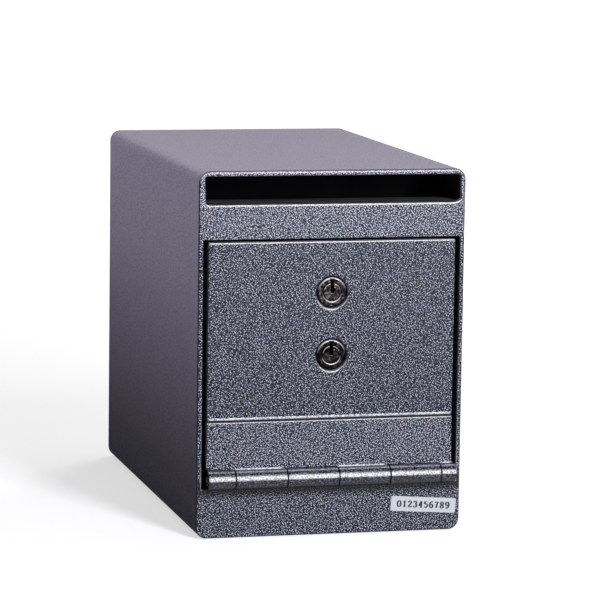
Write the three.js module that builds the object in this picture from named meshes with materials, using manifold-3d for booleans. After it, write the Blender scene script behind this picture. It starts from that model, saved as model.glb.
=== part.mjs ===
// A small steel drop safe that stands under a counter: a wrapped cabinet with a deposit slot
// above a bottom-hinged door, and two key locks that each raise a bolt behind the slot's front.
// Millimetres. X is across, Y runs from the front to the back, and Z is up.
import * as THREE from "three";
import { mergeVertices } from "three/addons/utils/BufferGeometryUtils.js";
import Module from "manifold-3d";

// Cabinet: one sheet bent into a tube, open at the front and at the back.
const cabinetWidth = 152.4;
const cabinetHeight = 205;
const cabinetDepth = 254;
const cabinetWall = 2.65;
const bendRadius = 6.2;
const weldGap = 0.2; // between a welded piece and the face that it seats on
const anchorHoleRadius = 5;
const anchorHoleInset = 28; // from the cabinet's sides to a hole's middle
const anchorHoleSetback = 52; // from the cabinet's front and back to a hole's middle

// Front above the door, and the slot over it.
const slotHeight = 15.4;
const fasciaHeight = 19.8;
const leftFilletRun = 2.4;
const leftFilletRise = 2.2;
const rightFilletRun = 5.4;
const rightFilletRise = 3.2;

// Chute behind the slot, the channel that stiffens its lip, and the toothed baffle above it.
const chuteSheet = 2;
const chuteGroove = 3.4; // open groove between the front's back face and the chute's edge
const chuteDrop = 46; // height lost over the sloping stretch
const chuteSlope = THREE.MathUtils.degToRad(38);
const channelDrop = 2.7; // from the slot's sill down to the channel's top
const channelClearance = 0.9; // from the front's lower edge up to the channel's lower edge
const channelWall = 2.65;
const baffleSheet = 2;
const baffleLength = 47;
const baffleSetback = 44;
const baffleLean = THREE.MathUtils.degToRad(40);
const toothPitch = 9;
const toothDepth = 6.5;

// Door: a front plate over a hinge leaf, both on one backing plate.
const doorTopGap = 1;
const doorSideGap = 2.7;
const seamGap = 0.4; // between the front plate and the hinge leaf
const plateThickness = 2.75;
const backingThickness = 3.5;
const backingInset = 1.4; // at each side of the door
const backingTopInset = 3;
const backingRise = 9; // from the hinge axis up to the backing plate's lower edge
const swingClearance = 1; // left above whatever swings under the front's lower edge

// Hinge: leaves as thick as the front plate, cut from a longer strip of knuckles.
const hingeAxisHeight = 33.35;
const barrelRadius = 5.5;
const pinRadius = 2.75;
const pinClearance = 0.2;
const knuckleClearance = 0.5; // from the barrel to the notched edge of the other leaf
const knuckleGap = 0.4; // between two knuckles along the pin
const firstKnuckle = 15.5;
const knucklePitch = 29.6;
const shortestKnuckle = 6;
const barrelOverhang = 0.9; // past the door's right edge
const pinInset = 0.6; // from each end of the barrel
const leafRise = 32.7; // from the hinge axis up to the leaf's upper edge

// Door stops: bars on the side walls behind the door's edges.
const stopWidth = 8;
const stopThickness = 6;
const stopGap = 0.3;
const stopEndInset = 3; // inside both ends of the backing plate

// Locks: a flush barrel held from behind by a two-screw flange.
const lockMiddleShare = 0.5306; // of the front plate's height, up to the middle between the locks
const lockSpacing = 35;
const lockFaceRadius = 8.6;
const lockHoleClearance = 0.6;
const lockRecess = 0.6;
const lockChamfer = 0.5;
const lockFlangeWidth = 31;
const lockFlangeHeight = 17.6;
const lockFlangeThickness = 2.5;
const lockBarrelRadius = 8;
const lockDepth = 20; // from the door's face to the barrel's rear end
const lockScrewOffset = 12;
const plugRadius = 5;
const plugClearance = 0.15;
const plugProud = 0.25; // past the lock's face, on its own rounded step
const plugStep = 0.3;
const plugStepInset = 0.45;
const plugKeepDepth = 0.4; // from the barrel's rear end to the cam
const keywayWidth = 2;
const keywayReach = 7.7; // from the plug's middle to the keyway's upper end
const keywayBelow = 0.4; // from the plug's middle to the keyway's lower end
const keywayFlareWidth = 2.9;
const keywayFlareHeight = 1.7;
const keywayDepth = 14;
const keyNotchDepth = 3.5;

// Cam on the plug's square tail, with the crank pin that lifts the bolt.
const crankRadius = 8.5;
const crankPinRadius = 2;
const crankRestAngle = THREE.MathUtils.degToRad(225); // seen from the front, from +X towards +Z
const camThickness = 3;
const camHubRadius = 5.6;
const camTipRadius = 3.8;
const tailWidth = 5;
const tailClearance = 0.25;
const camScrewRadius = 1.4;
const camScrewClearance = 0.2;
const camScrewLength = 7;
const camScrewHeadRadius = 3.6;
const camScrewHeadHeight = 1.4;

// Bolts: flat bars that slide between grooved rails.
const boltThickness = 4;
const boltSetback = 0.8; // from the cam screw's head to the bolts' front faces
const boltHalfWidth = 16;
const boltFoot = 4; // below the yoke slot's lower edge, on the upper bolt
const boltCornerRadius = 2;
const yokeClearance = 0.5; // at each side of the crank pin
const yokeEndClearance = 0.6; // at each end of its travel
const armWidth = 14; // of the lower bolt, where it passes the upper lock
const blockHeight = 17; // of the lower bolt, around its yoke slot
const strikeClearance = 0.5; // between the bolts and the channel in front of them

// Rails: stand on the backing plate, at both sides of the bolts and between them.
const railWall = 3;
const middleRailWall = 4.2;
const railRunClearance = 0.4; // between a bolt and its groove
const railLipThickness = 2;
const railLipReach = 2;
const railFootWidth = 8;
const railFootThickness = 2.2;
const railTopInset = 4; // from the bolts' upper ends down to the rails' tops
const railFootBelow = 3; // from the lower bolt's lower edge down to the side rails' ends
const middleRailClearance = 3.5; // from the raised lower bolt up to the middle rail

// Screws with round heads.
const screwRadius = 1.7;
const screwClearance = 0.25;
const screwHeadRadius = 3.1;
const screwHeadHeight = 1.8;
const screwBite = 2.6; // into the backing plate
const railScrewInset = 12; // from a side rail's ends

// Serial label on the hinge's lower leaf.
const labelWidth = 37.5;
const labelHeight = 8.5;
const labelThickness = 0.2;
const labelCornerRadius = 1.1;
const labelRightInset = 0.3; // from the leaf's right end to the label's
const labelHeightAbove = 14.3; // from the ground to the label's middle
const labelTilt = THREE.MathUtils.degToRad(4);

// How finely round pieces are faceted, and how far every cut runs past what it cuts.
const roundSegments = 28;
const smallSegments = 16;
const arcSegments = 5;
const overrun = 1;

// Places worked out from the sizes above. The front face of the cabinet is at y = 0.
const innerHalf = cabinetWidth / 2 - cabinetWall;
const ceiling = cabinetHeight - cabinetWall;
const slotSill = ceiling - slotHeight;
const fasciaBottom = slotSill - fasciaHeight;
const doorTop = fasciaBottom - doorTopGap;
const doorHalf = innerHalf - doorSideGap;
const hingeAxisY = plateThickness - barrelRadius;
const hingeProud = barrelRadius - hingeAxisY;
const notchRise = Math.sqrt((barrelRadius + knuckleClearance) ** 2 - hingeAxisY ** 2);
const leafTop = hingeAxisHeight + leafRise;
const plateBottom = leafTop + seamGap;
const backingFront = plateThickness + weldGap;
const backingBack = backingFront + backingThickness;
const backingHalf = doorHalf - backingInset;
const backingBottom = hingeAxisHeight + backingRise;
const backingTop = doorTop - backingTopInset;
const lockMiddle = plateBottom + lockMiddleShare * (doorTop - plateBottom);
const upperLockHeight = lockMiddle + lockSpacing / 2;
const lowerLockHeight = lockMiddle - lockSpacing / 2;
const lockHoleRadius = lockFaceRadius + lockHoleClearance;
const flangeFront = backingBack + weldGap;
const flangeBack = flangeFront + lockFlangeThickness;
const camFront = lockDepth + plugKeepDepth;
const camBack = camFront + camThickness;
const camScrewSeat = camBack + weldGap;
const boltFront = camScrewSeat + camScrewHeadHeight + boltSetback;
const boltBack = boltFront + boltThickness;
const crankX = crankRadius * Math.cos(crankRestAngle);
const crankZ = crankRadius * Math.sin(crankRestAngle);
const boltTravel = -2 * crankZ;
const swingRadius = fasciaBottom - swingClearance - hingeAxisHeight;
const boltTop = hingeAxisHeight + Math.sqrt(swingRadius ** 2 - (boltBack - hingeAxisY) ** 2);
const upperYoke = upperLockHeight + crankZ;
const lowerYoke = lowerLockHeight + crankZ;
const yokeHalfHeight = crankPinRadius + yokeClearance;
const yokeInner = crankX + crankPinRadius + yokeEndClearance;
const yokeOuter = -crankRadius - crankPinRadius - yokeEndClearance;
const blockBottom = lowerYoke - blockHeight / 2;
const blockTop = lowerYoke + blockHeight / 2;
const middleRailRight = -boltHalfWidth - railRunClearance;
const middleRailLeft = middleRailRight - middleRailWall;
const armRight = middleRailLeft - railRunClearance;
const armLeft = armRight - armWidth;
const grooveFront = boltFront - railRunClearance;
const grooveBack = boltBack + railRunClearance;
const railFront = backingBack + weldGap;
const railTop = boltTop - railTopInset;
const sideRailBottom = blockBottom - railFootBelow;
const middleRailBottom = blockTop + boltTravel + middleRailClearance;
const channelBottom = fasciaBottom + channelClearance;
const channelTop = slotSill - channelDrop;
const channelFront = cabinetWall + weldGap;
const channelBack = boltFront - strikeClearance;

const wasm = await Module();
wasm.setup();

// A closed geometry as a solid that can be joined and cut.
function solidOf(geometry) {
  const bare = geometry.clone();
  bare.deleteAttribute("normal");
  bare.deleteAttribute("uv");
  const merged = mergeVertices(bare);
  return new wasm.Manifold(
    new wasm.Mesh({
      numProp: 3,
      vertProperties: new Float32Array(merged.attributes.position.array),
      triVerts: new Uint32Array(merged.index.array),
    }),
  );
}

// A solid as a geometry again.
function geometryOf(solid) {
  const made = solid.getMesh();
  const geometry = new THREE.BufferGeometry();
  geometry.setAttribute("position", new THREE.BufferAttribute(made.vertProperties, 3));
  geometry.setIndex(new THREE.BufferAttribute(made.triVerts, 1));
  return geometry;
}

function joined(...geometries) {
  return geometryOf(geometries.map(solidOf).reduce((all, next) => all.add(next)));
}

function cut(geometry, ...tools) {
  return geometryOf(tools.map(solidOf).reduce((left, tool) => left.subtract(tool), solidOf(geometry)));
}

// A box between six planes.
function block(left, right, front, back, bottom, top) {
  const geometry = new THREE.BoxGeometry(right - left, back - front, top - bottom);
  return geometry.translate((left + right) / 2, (front + back) / 2, (bottom + top) / 2);
}

function extruded(shape, depth) {
  return new THREE.ExtrudeGeometry(shape, {
    depth,
    bevelEnabled: false,
    curveSegments: arcSegments,
  });
}

// A plate that faces the front: the shape's x is across, and its y is up.
function facingPlate(shape, front, thickness) {
  return extruded(shape, thickness)
    .rotateX(Math.PI / 2)
    .translate(0, front + thickness, 0);
}

// A bar that runs across the safe: the shape's x is the depth, and its y is up.
function crossBar(shape, left, right) {
  const turn = new THREE.Matrix4().makeBasis(
    new THREE.Vector3(0, 1, 0),
    new THREE.Vector3(0, 0, 1),
    new THREE.Vector3(1, 0, 0),
  );
  return extruded(shape, right - left)
    .applyMatrix4(turn)
    .translate(left, 0, 0);
}

// A bar that stands: the shape's x is across, and its y is the depth.
function uprightBar(shape, bottom, top) {
  return extruded(shape, top - bottom).translate(0, 0, bottom);
}

// A round bar along the depth.
function rod(radius, front, back, segments = smallSegments) {
  const geometry = new THREE.CylinderGeometry(radius, radius, back - front, segments);
  return geometry.translate(0, (front + back) / 2, 0);
}

// A round bar across the safe, with a facet's corner towards the back.
function crossRod(radius, left, right, segments) {
  const geometry = new THREE.CylinderGeometry(radius, radius, right - left, segments);
  return geometry.rotateZ(-Math.PI / 2).translate((left + right) / 2, 0, 0);
}

function polygon(points) {
  return new THREE.Shape(points.map(([x, y]) => new THREE.Vector2(x, y)));
}

// A rectangle with round corners, as a Shape or as a hole's Path.
function roundedRectangle(kind, left, right, bottom, top, radius) {
  const outline = new kind();
  const quarter = Math.PI / 2;
  outline.moveTo(left + radius, bottom);
  outline.absarc(right - radius, bottom + radius, radius, -quarter, 0, false);
  outline.absarc(right - radius, top - radius, radius, 0, quarter, false);
  outline.absarc(left + radius, top - radius, radius, quarter, 2 * quarter, false);
  outline.absarc(left + radius, bottom + radius, radius, 2 * quarter, 3 * quarter, false);
  outline.closePath();
  return outline;
}

// Cabinet, back and front

function bodyShell() {
  const outer = roundedRectangle(
    THREE.Shape,
    -cabinetWidth / 2,
    cabinetWidth / 2,
    0,
    cabinetHeight,
    bendRadius,
  );
  outer.holes.push(
    roundedRectangle(
      THREE.Path,
      -innerHalf,
      innerHalf,
      cabinetWall,
      ceiling,
      bendRadius - cabinetWall,
    ),
  );
  const drills = [];
  for (const side of [-1, 1]) {
    for (const y of [anchorHoleSetback, cabinetDepth - anchorHoleSetback]) {
      const drill = rod(anchorHoleRadius, -overrun, cabinetWall + overrun);
      drill.rotateX(Math.PI / 2);
      drills.push(drill.translate(side * (cabinetWidth / 2 - anchorHoleInset), y, 0));
    }
  }
  return cut(facingPlate(outer, 0, cabinetDepth), ...drills);
}

function backPanel() {
  const outline = roundedRectangle(
    THREE.Shape,
    -innerHalf + weldGap,
    innerHalf - weldGap,
    cabinetWall + weldGap,
    ceiling - weldGap,
    bendRadius - cabinetWall,
  );
  return facingPlate(outline, cabinetDepth - cabinetWall, cabinetWall);
}

// The front strip under the slot, with the weld's fillets at both upper corners.
function upperFascia() {
  const half = innerHalf - weldGap;
  const outline = new THREE.Shape();
  outline.moveTo(-half, fasciaBottom);
  outline.lineTo(half, fasciaBottom);
  outline.lineTo(half, slotSill + rightFilletRise);
  outline.quadraticCurveTo(
    half - rightFilletRun / 4,
    slotSill + rightFilletRise / 4,
    half - rightFilletRun,
    slotSill,
  );
  outline.lineTo(-half + leftFilletRun, slotSill);
  outline.quadraticCurveTo(-half, slotSill, -half, slotSill + leftFilletRise);
  outline.closePath();
  return facingPlate(outline, 0, cabinetWall);
}

// A channel open downwards: its rear flange is what the raised bolts bear on.
function strikeChannel() {
  const half = innerHalf - weldGap;
  const outline = polygon([
    [channelFront, channelBottom],
    [channelFront + channelWall, channelBottom],
    [channelFront + channelWall, channelTop - channelWall],
    [channelBack - channelWall, channelTop - channelWall],
    [channelBack - channelWall, channelBottom],
    [channelBack, channelBottom],
    [channelBack, channelTop],
    [channelFront, channelTop],
  ]);
  return crossBar(outline, -half, half);
}

// One bent sheet: a level lip on the channel, then a slope down into the safe.
function depositChute() {
  const half = innerHalf - weldGap;
  const top = channelTop + weldGap + chuteSheet;
  const front = cabinetWall + chuteGroove;
  const lowerBend = channelBack + weldGap;
  const upperBend = lowerBend + chuteSheet * Math.tan(chuteSlope / 2);
  const endY = upperBend + chuteDrop / Math.tan(chuteSlope);
  const endZ = top - chuteDrop;
  const outline = polygon([
    [front, top],
    [front, top - chuteSheet],
    [lowerBend, top - chuteSheet],
    [endY - chuteSheet * Math.sin(chuteSlope), endZ - chuteSheet * Math.cos(chuteSlope)],
    [endY, endZ],
    [upperBend, top],
  ]);
  return crossBar(outline, -half, half);
}

// A sheet that leans back from the ceiling, with teeth along its lower edge.
function antiFishBaffle() {
  const half = innerHalf - weldGap;
  const teeth = Math.max(2, Math.round((2 * half) / toothPitch));
  const pitch = (2 * half) / teeth;
  const corner = (bendRadius - cabinetWall) / Math.cos(baffleLean);
  const points = [
    [half, -corner],
    [half - corner, 0],
    [corner - half, 0],
    [-half, -corner],
  ];
  for (let tooth = 0; tooth < teeth; tooth += 1) {
    const left = -half + tooth * pitch;
    points.push([left, toothDepth - baffleLength]);
    points.push([left + pitch / 2, -baffleLength]);
  }
  points.push([half, toothDepth - baffleLength]);
  return facingPlate(polygon(points), 0, baffleSheet);
}

function doorStop(side) {
  const wallSide = innerHalf - weldGap;
  const front = backingBack + stopGap;
  const bottom = backingBottom + stopEndInset;
  const top = backingTop - stopEndInset;
  const inner = wallSide - stopWidth;
  return side > 0
    ? block(inner, wallSide, front, front + stopThickness, bottom, top)
    : block(-wallSide, -inner, front, front + stopThickness, bottom, top);
}

// Hinge

// The knuckles' ends along the pin, from the left; every second one is the door's.
function knuckles() {
  const end = doorHalf + barrelOverhang;
  const edges = [-doorHalf];
  let next = -doorHalf + firstKnuckle;
  while (end - next > shortestKnuckle) {
    edges.push(next);
    next += knucklePitch;
  }
  edges.push(end);
  return edges.slice(1).map((right, index) => ({
    left: edges[index] + (index > 0 ? knuckleGap / 2 : 0),
    right: right - (index < edges.length - 2 ? knuckleGap / 2 : 0),
    onDoor: index % 2 === 1,
  }));
}

// A leaf's flat plate joined to its own knuckles by tongues, with one bore through them.
function hingeLeaf(plate, onDoor, tongueEnd) {
  const pieces = [plate];
  for (const knuckle of knuckles().filter((each) => each.onDoor === onDoor)) {
    const barrel = crossRod(barrelRadius, knuckle.left, knuckle.right, roundSegments);
    pieces.push(barrel.translate(0, hingeAxisY, hingeAxisHeight));
    const tongueRight = Math.min(knuckle.right, doorHalf);
    const bottom = Math.min(hingeAxisHeight, tongueEnd);
    const top = Math.max(hingeAxisHeight, tongueEnd);
    pieces.push(block(knuckle.left, tongueRight, 0, plateThickness, bottom, top));
  }
  const bore = crossRod(
    pinRadius + pinClearance,
    -doorHalf - overrun,
    doorHalf + barrelOverhang + overrun,
    roundSegments,
  );
  return cut(joined(...pieces), bore.translate(0, hingeAxisY, hingeAxisHeight));
}

function hingeDoorLeaf() {
  const bottom = hingeAxisHeight + notchRise;
  const plate = block(-doorHalf, doorHalf, 0, plateThickness, bottom, leafTop);
  return hingeLeaf(plate, true, bottom + overrun);
}

function hingeFrameLeaf() {
  const half = innerHalf - weldGap;
  const top = hingeAxisHeight - notchRise;
  const bottom = cabinetWall + weldGap;
  const corner = bendRadius - cabinetWall;
  const outline = new THREE.Shape();
  outline.moveTo(half, top);
  outline.lineTo(-half, top);
  outline.absarc(-half + corner, bottom + corner, corner, Math.PI, 1.5 * Math.PI, false);
  outline.absarc(half - corner, bottom + corner, corner, 1.5 * Math.PI, 2 * Math.PI, false);
  outline.closePath();
  return hingeLeaf(facingPlate(outline, 0, plateThickness), false, top - overrun);
}

function hingePin() {
  const left = -doorHalf + pinInset;
  const right = doorHalf + barrelOverhang - pinInset;
  return crossRod(pinRadius, left, right, roundSegments).translate(0, hingeAxisY, hingeAxisHeight);
}

// Door

function roundHole(x, z, radius) {
  const hole = new THREE.Path();
  hole.absarc(x, z, radius, 0, 2 * Math.PI, true);
  return hole;
}

// A plate with round holes, which are cut so that small holes stay coarse.
function drilledPlate(outline, front, thickness, holes) {
  const drills = holes.map(({ x, z, radius, segments }) =>
    rod(radius, front - overrun, front + thickness + overrun, segments).translate(x, 0, z),
  );
  return cut(facingPlate(outline, front, thickness), ...drills);
}

function doorPlate() {
  const outline = polygon([
    [-doorHalf, plateBottom],
    [doorHalf, plateBottom],
    [doorHalf, doorTop],
    [-doorHalf, doorTop],
  ]);
  const holes = [upperLockHeight, lowerLockHeight].map((z) => ({
    x: 0,
    z,
    radius: lockHoleRadius,
    segments: roundSegments,
  }));
  return drilledPlate(outline, 0, plateThickness, holes);
}

// Where the screws of both locks and both side rails go into the backing plate.
function screwPlaces() {
  const footMiddle = railFootWidth / 2;
  const rightRail = boltHalfWidth + railRunClearance + railWall + footMiddle;
  const leftRail = armLeft - railRunClearance - railWall - footMiddle;
  return [
    { name: "upper_lock_screw_left", x: -lockScrewOffset, z: upperLockHeight, seat: flangeBack },
    { name: "upper_lock_screw_right", x: lockScrewOffset, z: upperLockHeight, seat: flangeBack },
    { name: "lower_lock_screw_left", x: -lockScrewOffset, z: lowerLockHeight, seat: flangeBack },
    { name: "lower_lock_screw_right", x: lockScrewOffset, z: lowerLockHeight, seat: flangeBack },
    { name: "left_rail_screw_upper", x: leftRail, z: railTop - railScrewInset, seat: footBack() },
    { name: "left_rail_screw_lower", x: leftRail, z: sideRailBottom + railScrewInset, seat: footBack() },
    { name: "right_rail_screw_upper", x: rightRail, z: railTop - railScrewInset, seat: footBack() },
    { name: "right_rail_screw_lower", x: rightRail, z: sideRailBottom + railScrewInset, seat: footBack() },
  ];
}

function footBack() {
  return railFront + railFootThickness;
}

function doorBackingPlate() {
  const outline = polygon([
    [-backingHalf, backingBottom],
    [backingHalf, backingBottom],
    [backingHalf, backingTop],
    [-backingHalf, backingTop],
  ]);
  const holes = [upperLockHeight, lowerLockHeight].map((z) => ({
    x: 0,
    z,
    radius: lockHoleRadius,
    segments: roundSegments,
  }));
  for (const { x, z } of screwPlaces()) {
    holes.push({ x, z, radius: screwRadius + screwClearance, segments: smallSegments });
  }
  return drilledPlate(outline, backingFront, backingThickness, holes);
}

function screw({ seat }) {
  const headFront = seat + weldGap;
  const shank = rod(screwRadius, backingBack - screwBite, headFront + screwHeadHeight / 2);
  const head = rod(screwHeadRadius, headFront, headFront + screwHeadHeight, roundSegments);
  return joined(shank, head);
}

// Rails, drawn from above

// A side rail, with its groove towards the bolts: side is 1 for the right rail, -1 for the left.
function sideRail(side, groove) {
  const web = groove + side * railRunClearance;
  const outside = web + side * railWall;
  const lip = web - side * railLipReach;
  const foot = outside + side * railFootWidth;
  const rear = grooveBack + railLipThickness;
  const points = [
    [web, railFront],
    [foot, railFront],
    [foot, footBack()],
    [outside, footBack()],
    [outside, rear],
    [lip, rear],
    [lip, grooveBack],
    [web, grooveBack],
    [web, grooveFront],
    [lip, grooveFront],
    [lip, grooveFront - railLipThickness],
    [web, grooveFront - railLipThickness],
  ];
  const rail = uprightBar(polygon(side > 0 ? points : points.reverse()), sideRailBottom, railTop);
  const drills = screwPlaces()
    .filter(({ x, seat }) => seat === footBack() && x * side > 0)
    .map(({ x, z }) =>
      rod(screwRadius + screwClearance, railFront - overrun, footBack() + overrun).translate(x, 0, z),
    );
  return cut(rail, ...drills);
}

// The rail between the bolts, with a groove at each side.
function middleRail() {
  const left = middleRailLeft;
  const right = middleRailRight;
  const rear = grooveBack + railLipThickness;
  const front = grooveFront - railLipThickness;
  const outline = polygon([
    [left, railFront],
    [right, railFront],
    [right, front],
    [right + railLipReach, front],
    [right + railLipReach, grooveFront],
    [right, grooveFront],
    [right, grooveBack],
    [right + railLipReach, grooveBack],
    [right + railLipReach, rear],
    [left - railLipReach, rear],
    [left - railLipReach, grooveBack],
    [left, grooveBack],
    [left, grooveFront],
    [left - railLipReach, grooveFront],
    [left - railLipReach, front],
    [left, front],
  ]);
  return uprightBar(outline, middleRailBottom, railTop);
}

// Locks, each drawn around its own axis

function lockBody() {
  const profile = [
    [0, lockRecess],
    [lockFaceRadius - lockChamfer, lockRecess],
    [lockFaceRadius, lockRecess + lockChamfer],
    [lockFaceRadius, flangeBack],
    [lockBarrelRadius, flangeBack],
    [lockBarrelRadius, lockDepth],
    [0, lockDepth],
  ];
  const barrel = new THREE.LatheGeometry(
    profile.map(([radius, y]) => new THREE.Vector2(radius, y)),
    roundSegments,
  );
  const flange = facingPlate(
    roundedRectangle(
      THREE.Shape,
      -lockFlangeWidth / 2,
      lockFlangeWidth / 2,
      -lockFlangeHeight / 2,
      lockFlangeHeight / 2,
      boltCornerRadius,
    ),
    flangeFront,
    lockFlangeThickness,
  );
  const bore = rod(plugRadius + plugClearance, lockRecess - overrun, lockDepth + overrun, roundSegments);
  const screwHoles = [-1, 1].map((side) =>
    rod(screwRadius + screwClearance, flangeFront - overrun, flangeBack + overrun).translate(
      side * lockScrewOffset,
      0,
      0,
    ),
  );
  const notchFront = lockRecess - overrun;
  const notchBack = lockRecess + keyNotchDepth;
  const flareBottom = keywayReach - keywayFlareHeight;
  const notch = joined(
    block(-keywayWidth / 2, keywayWidth / 2, notchFront, notchBack, 0, keywayReach),
    block(-keywayFlareWidth / 2, keywayFlareWidth / 2, notchFront, notchBack, flareBottom, keywayReach),
  );
  return cut(joined(barrel, flange), bore, notch, ...screwHoles);
}

function lockPlug() {
  const front = lockRecess - plugProud;
  const profile = [
    [0, front],
    [plugRadius - plugStepInset, front],
    [plugRadius, front + plugStep],
    [plugRadius, lockDepth + plugKeepDepth / 2],
    [0, lockDepth + plugKeepDepth / 2],
  ];
  const round = new THREE.LatheGeometry(
    profile.map(([radius, y]) => new THREE.Vector2(radius, y)),
    roundSegments,
  );
  const half = tailWidth / 2;
  const tail = block(-half, half, lockDepth - overrun, camBack, -half, half);
  const keyway = block(
    -keywayWidth / 2,
    keywayWidth / 2,
    front - overrun,
    lockRecess + keywayDepth,
    -keywayBelow,
    plugRadius + overrun,
  );
  const thread = rod(
    camScrewRadius + camScrewClearance,
    camBack - camScrewLength - camScrewClearance,
    camBack + overrun,
  );
  return cut(joined(round, tail), keyway, thread);
}

// A teardrop arm from the plug's tail to the crank pin, which stands on its rear face.
function lockCam() {
  const hole = tailWidth / 2 + tailClearance;
  const arm = new THREE.Shape();
  const spread = Math.acos((camHubRadius - camTipRadius) / crankRadius);
  const tipStart = crankRestAngle - spread;
  const tipEnd = crankRestAngle + spread;
  arm.absarc(crankX, crankZ, camTipRadius, tipStart, tipEnd, false);
  arm.absarc(0, 0, camHubRadius, tipEnd, tipStart + 2 * Math.PI, false);
  arm.closePath();
  const pin = rod(crankPinRadius, camBack - overrun, boltBack + weldGap).translate(crankX, 0, crankZ);
  const square = block(-hole, hole, camFront - overrun, camBack + overrun, -hole, hole);
  return joined(cut(facingPlate(arm, camFront, camThickness), square), pin);
}

function camScrew() {
  const shank = rod(camScrewRadius, camBack - camScrewLength, camScrewSeat + camScrewHeadHeight / 2);
  const head = rod(
    camScrewHeadRadius,
    camScrewSeat,
    camScrewSeat + camScrewHeadHeight,
    roundSegments,
  );
  return joined(shank, head);
}

// Bolts, drawn at rest

function yokeSlot(height) {
  return roundedRectangle(
    THREE.Path,
    yokeOuter,
    yokeInner,
    height - yokeHalfHeight,
    height + yokeHalfHeight,
    yokeHalfHeight / 2,
  );
}

function upperBolt() {
  const outline = roundedRectangle(
    THREE.Shape,
    -boltHalfWidth,
    boltHalfWidth,
    upperYoke - yokeHalfHeight - boltFoot,
    boltTop,
    boltCornerRadius,
  );
  outline.holes.push(yokeSlot(upperYoke));
  return facingPlate(outline, boltFront, boltThickness);
}

// A block across both side rails around the yoke slot, with an arm up past the upper lock.
function lowerBolt() {
  const outline = new THREE.Shape();
  const corner = boltCornerRadius;
  outline.moveTo(armLeft, blockBottom);
  outline.lineTo(boltHalfWidth, blockBottom);
  outline.lineTo(boltHalfWidth, blockTop);
  outline.lineTo(armRight + corner, blockTop);
  outline.quadraticCurveTo(armRight, blockTop, armRight, blockTop + corner);
  outline.lineTo(armRight, boltTop - corner);
  outline.quadraticCurveTo(armRight, boltTop, armRight - corner, boltTop);
  outline.lineTo(armLeft + corner, boltTop);
  outline.quadraticCurveTo(armLeft, boltTop, armLeft, boltTop - corner);
  outline.closePath();
  outline.holes.push(yokeSlot(lowerYoke));
  return facingPlate(outline, boltFront, boltThickness);
}

function serialLabel() {
  const outline = roundedRectangle(
    THREE.Shape,
    -labelWidth / 2,
    labelWidth / 2,
    -labelHeight / 2,
    labelHeight / 2,
    labelCornerRadius,
  );
  return facingPlate(outline, -labelThickness, labelThickness);
}

// Finishes

const hammertone = { color: "#70717e", roughness: 0.4, metalness: 0.35 };
const innerPaint = { color: "#3c3d44", roughness: 0.6, metalness: 0.2 };
const zincSteel = { color: "#9a9ca0", roughness: 0.35, metalness: 0.9 };
const darkNickel = { color: "#5b5653", roughness: 0.3, metalness: 0.9 };
const bareSteel = { color: "#83858a", roughness: 0.4, metalness: 0.9 };
const whitePaper = { color: "#eceef4", roughness: 0.6, metalness: 0 };

function addPiece(group, name, geometry, finish) {
  const mesh = new THREE.Mesh(geometry, new THREE.MeshStandardMaterial(finish));
  mesh.name = name;
  group.add(mesh);
  return mesh;
}

function cabinet() {
  const group = new THREE.Group();
  addPiece(group, "body_shell", bodyShell(), hammertone);
  addPiece(group, "back_panel", backPanel(), hammertone);
  addPiece(group, "upper_fascia", upperFascia(), hammertone);
  addPiece(group, "strike_channel", strikeChannel(), innerPaint);
  addPiece(group, "deposit_chute", depositChute(), innerPaint);
  addPiece(group, "door_stop_left", doorStop(-1), innerPaint);
  addPiece(group, "door_stop_right", doorStop(1), innerPaint);
  addPiece(group, "hinge_frame_leaf", hingeFrameLeaf(), hammertone);
  addPiece(group, "hinge_pin", hingePin(), bareSteel);

  const baffle = addPiece(group, "anti_fish_baffle", antiFishBaffle(), innerPaint);
  const raisedCorner = baffleSheet * Math.sin(baffleLean);
  baffle.rotation.x = baffleLean;
  baffle.position.set(0, baffleSetback, ceiling - weldGap - raisedCorner);

  const label = addPiece(group, "serial_label", serialLabel(), whitePaper);
  label.rotation.y = labelTilt;
  label.position.set(innerHalf - labelRightInset - labelWidth / 2, -weldGap / 2, labelHeightAbove);
  return group;
}

function lock(name, height) {
  const group = new THREE.Group();
  addPiece(group, name + "_lock_body", lockBody(), darkNickel);
  addPiece(group, name + "_lock_plug", lockPlug(), darkNickel);
  addPiece(group, name + "_lock_cam", lockCam(), zincSteel);
  addPiece(group, name + "_cam_screw", camScrew(), zincSteel);
  group.position.z = height;
  return group;
}

function door() {
  const group = new THREE.Group();
  addPiece(group, "door_plate", doorPlate(), hammertone);
  addPiece(group, "hinge_door_leaf", hingeDoorLeaf(), hammertone);
  addPiece(group, "door_backing_plate", doorBackingPlate(), innerPaint);
  addPiece(group, "bolt_rail_left", sideRail(-1, armLeft), zincSteel);
  addPiece(group, "bolt_rail_middle", middleRail(), zincSteel);
  addPiece(group, "bolt_rail_right", sideRail(1, boltHalfWidth), zincSteel);
  addPiece(group, "upper_bolt", upperBolt(), bareSteel);
  addPiece(group, "lower_bolt", lowerBolt(), bareSteel);
  for (const place of screwPlaces()) {
    addPiece(group, place.name, screw(place), zincSteel).position.set(place.x, 0, place.z);
  }
  group.add(lock("upper", upperLockHeight), lock("lower", lowerLockHeight));
  return group;
}

// The origin is on the ground, in the middle between the hinge barrel's front and the back.
const safe = new THREE.Group();
safe.add(cabinet(), door());
safe.position.y = (hingeProud - cabinetDepth) / 2;

export default safe;
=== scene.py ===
import math

import bmesh
import bpy
import numpy as np
from mathutils import Matrix, Vector
from mathutils.geometry import tessellate_polygon


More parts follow.
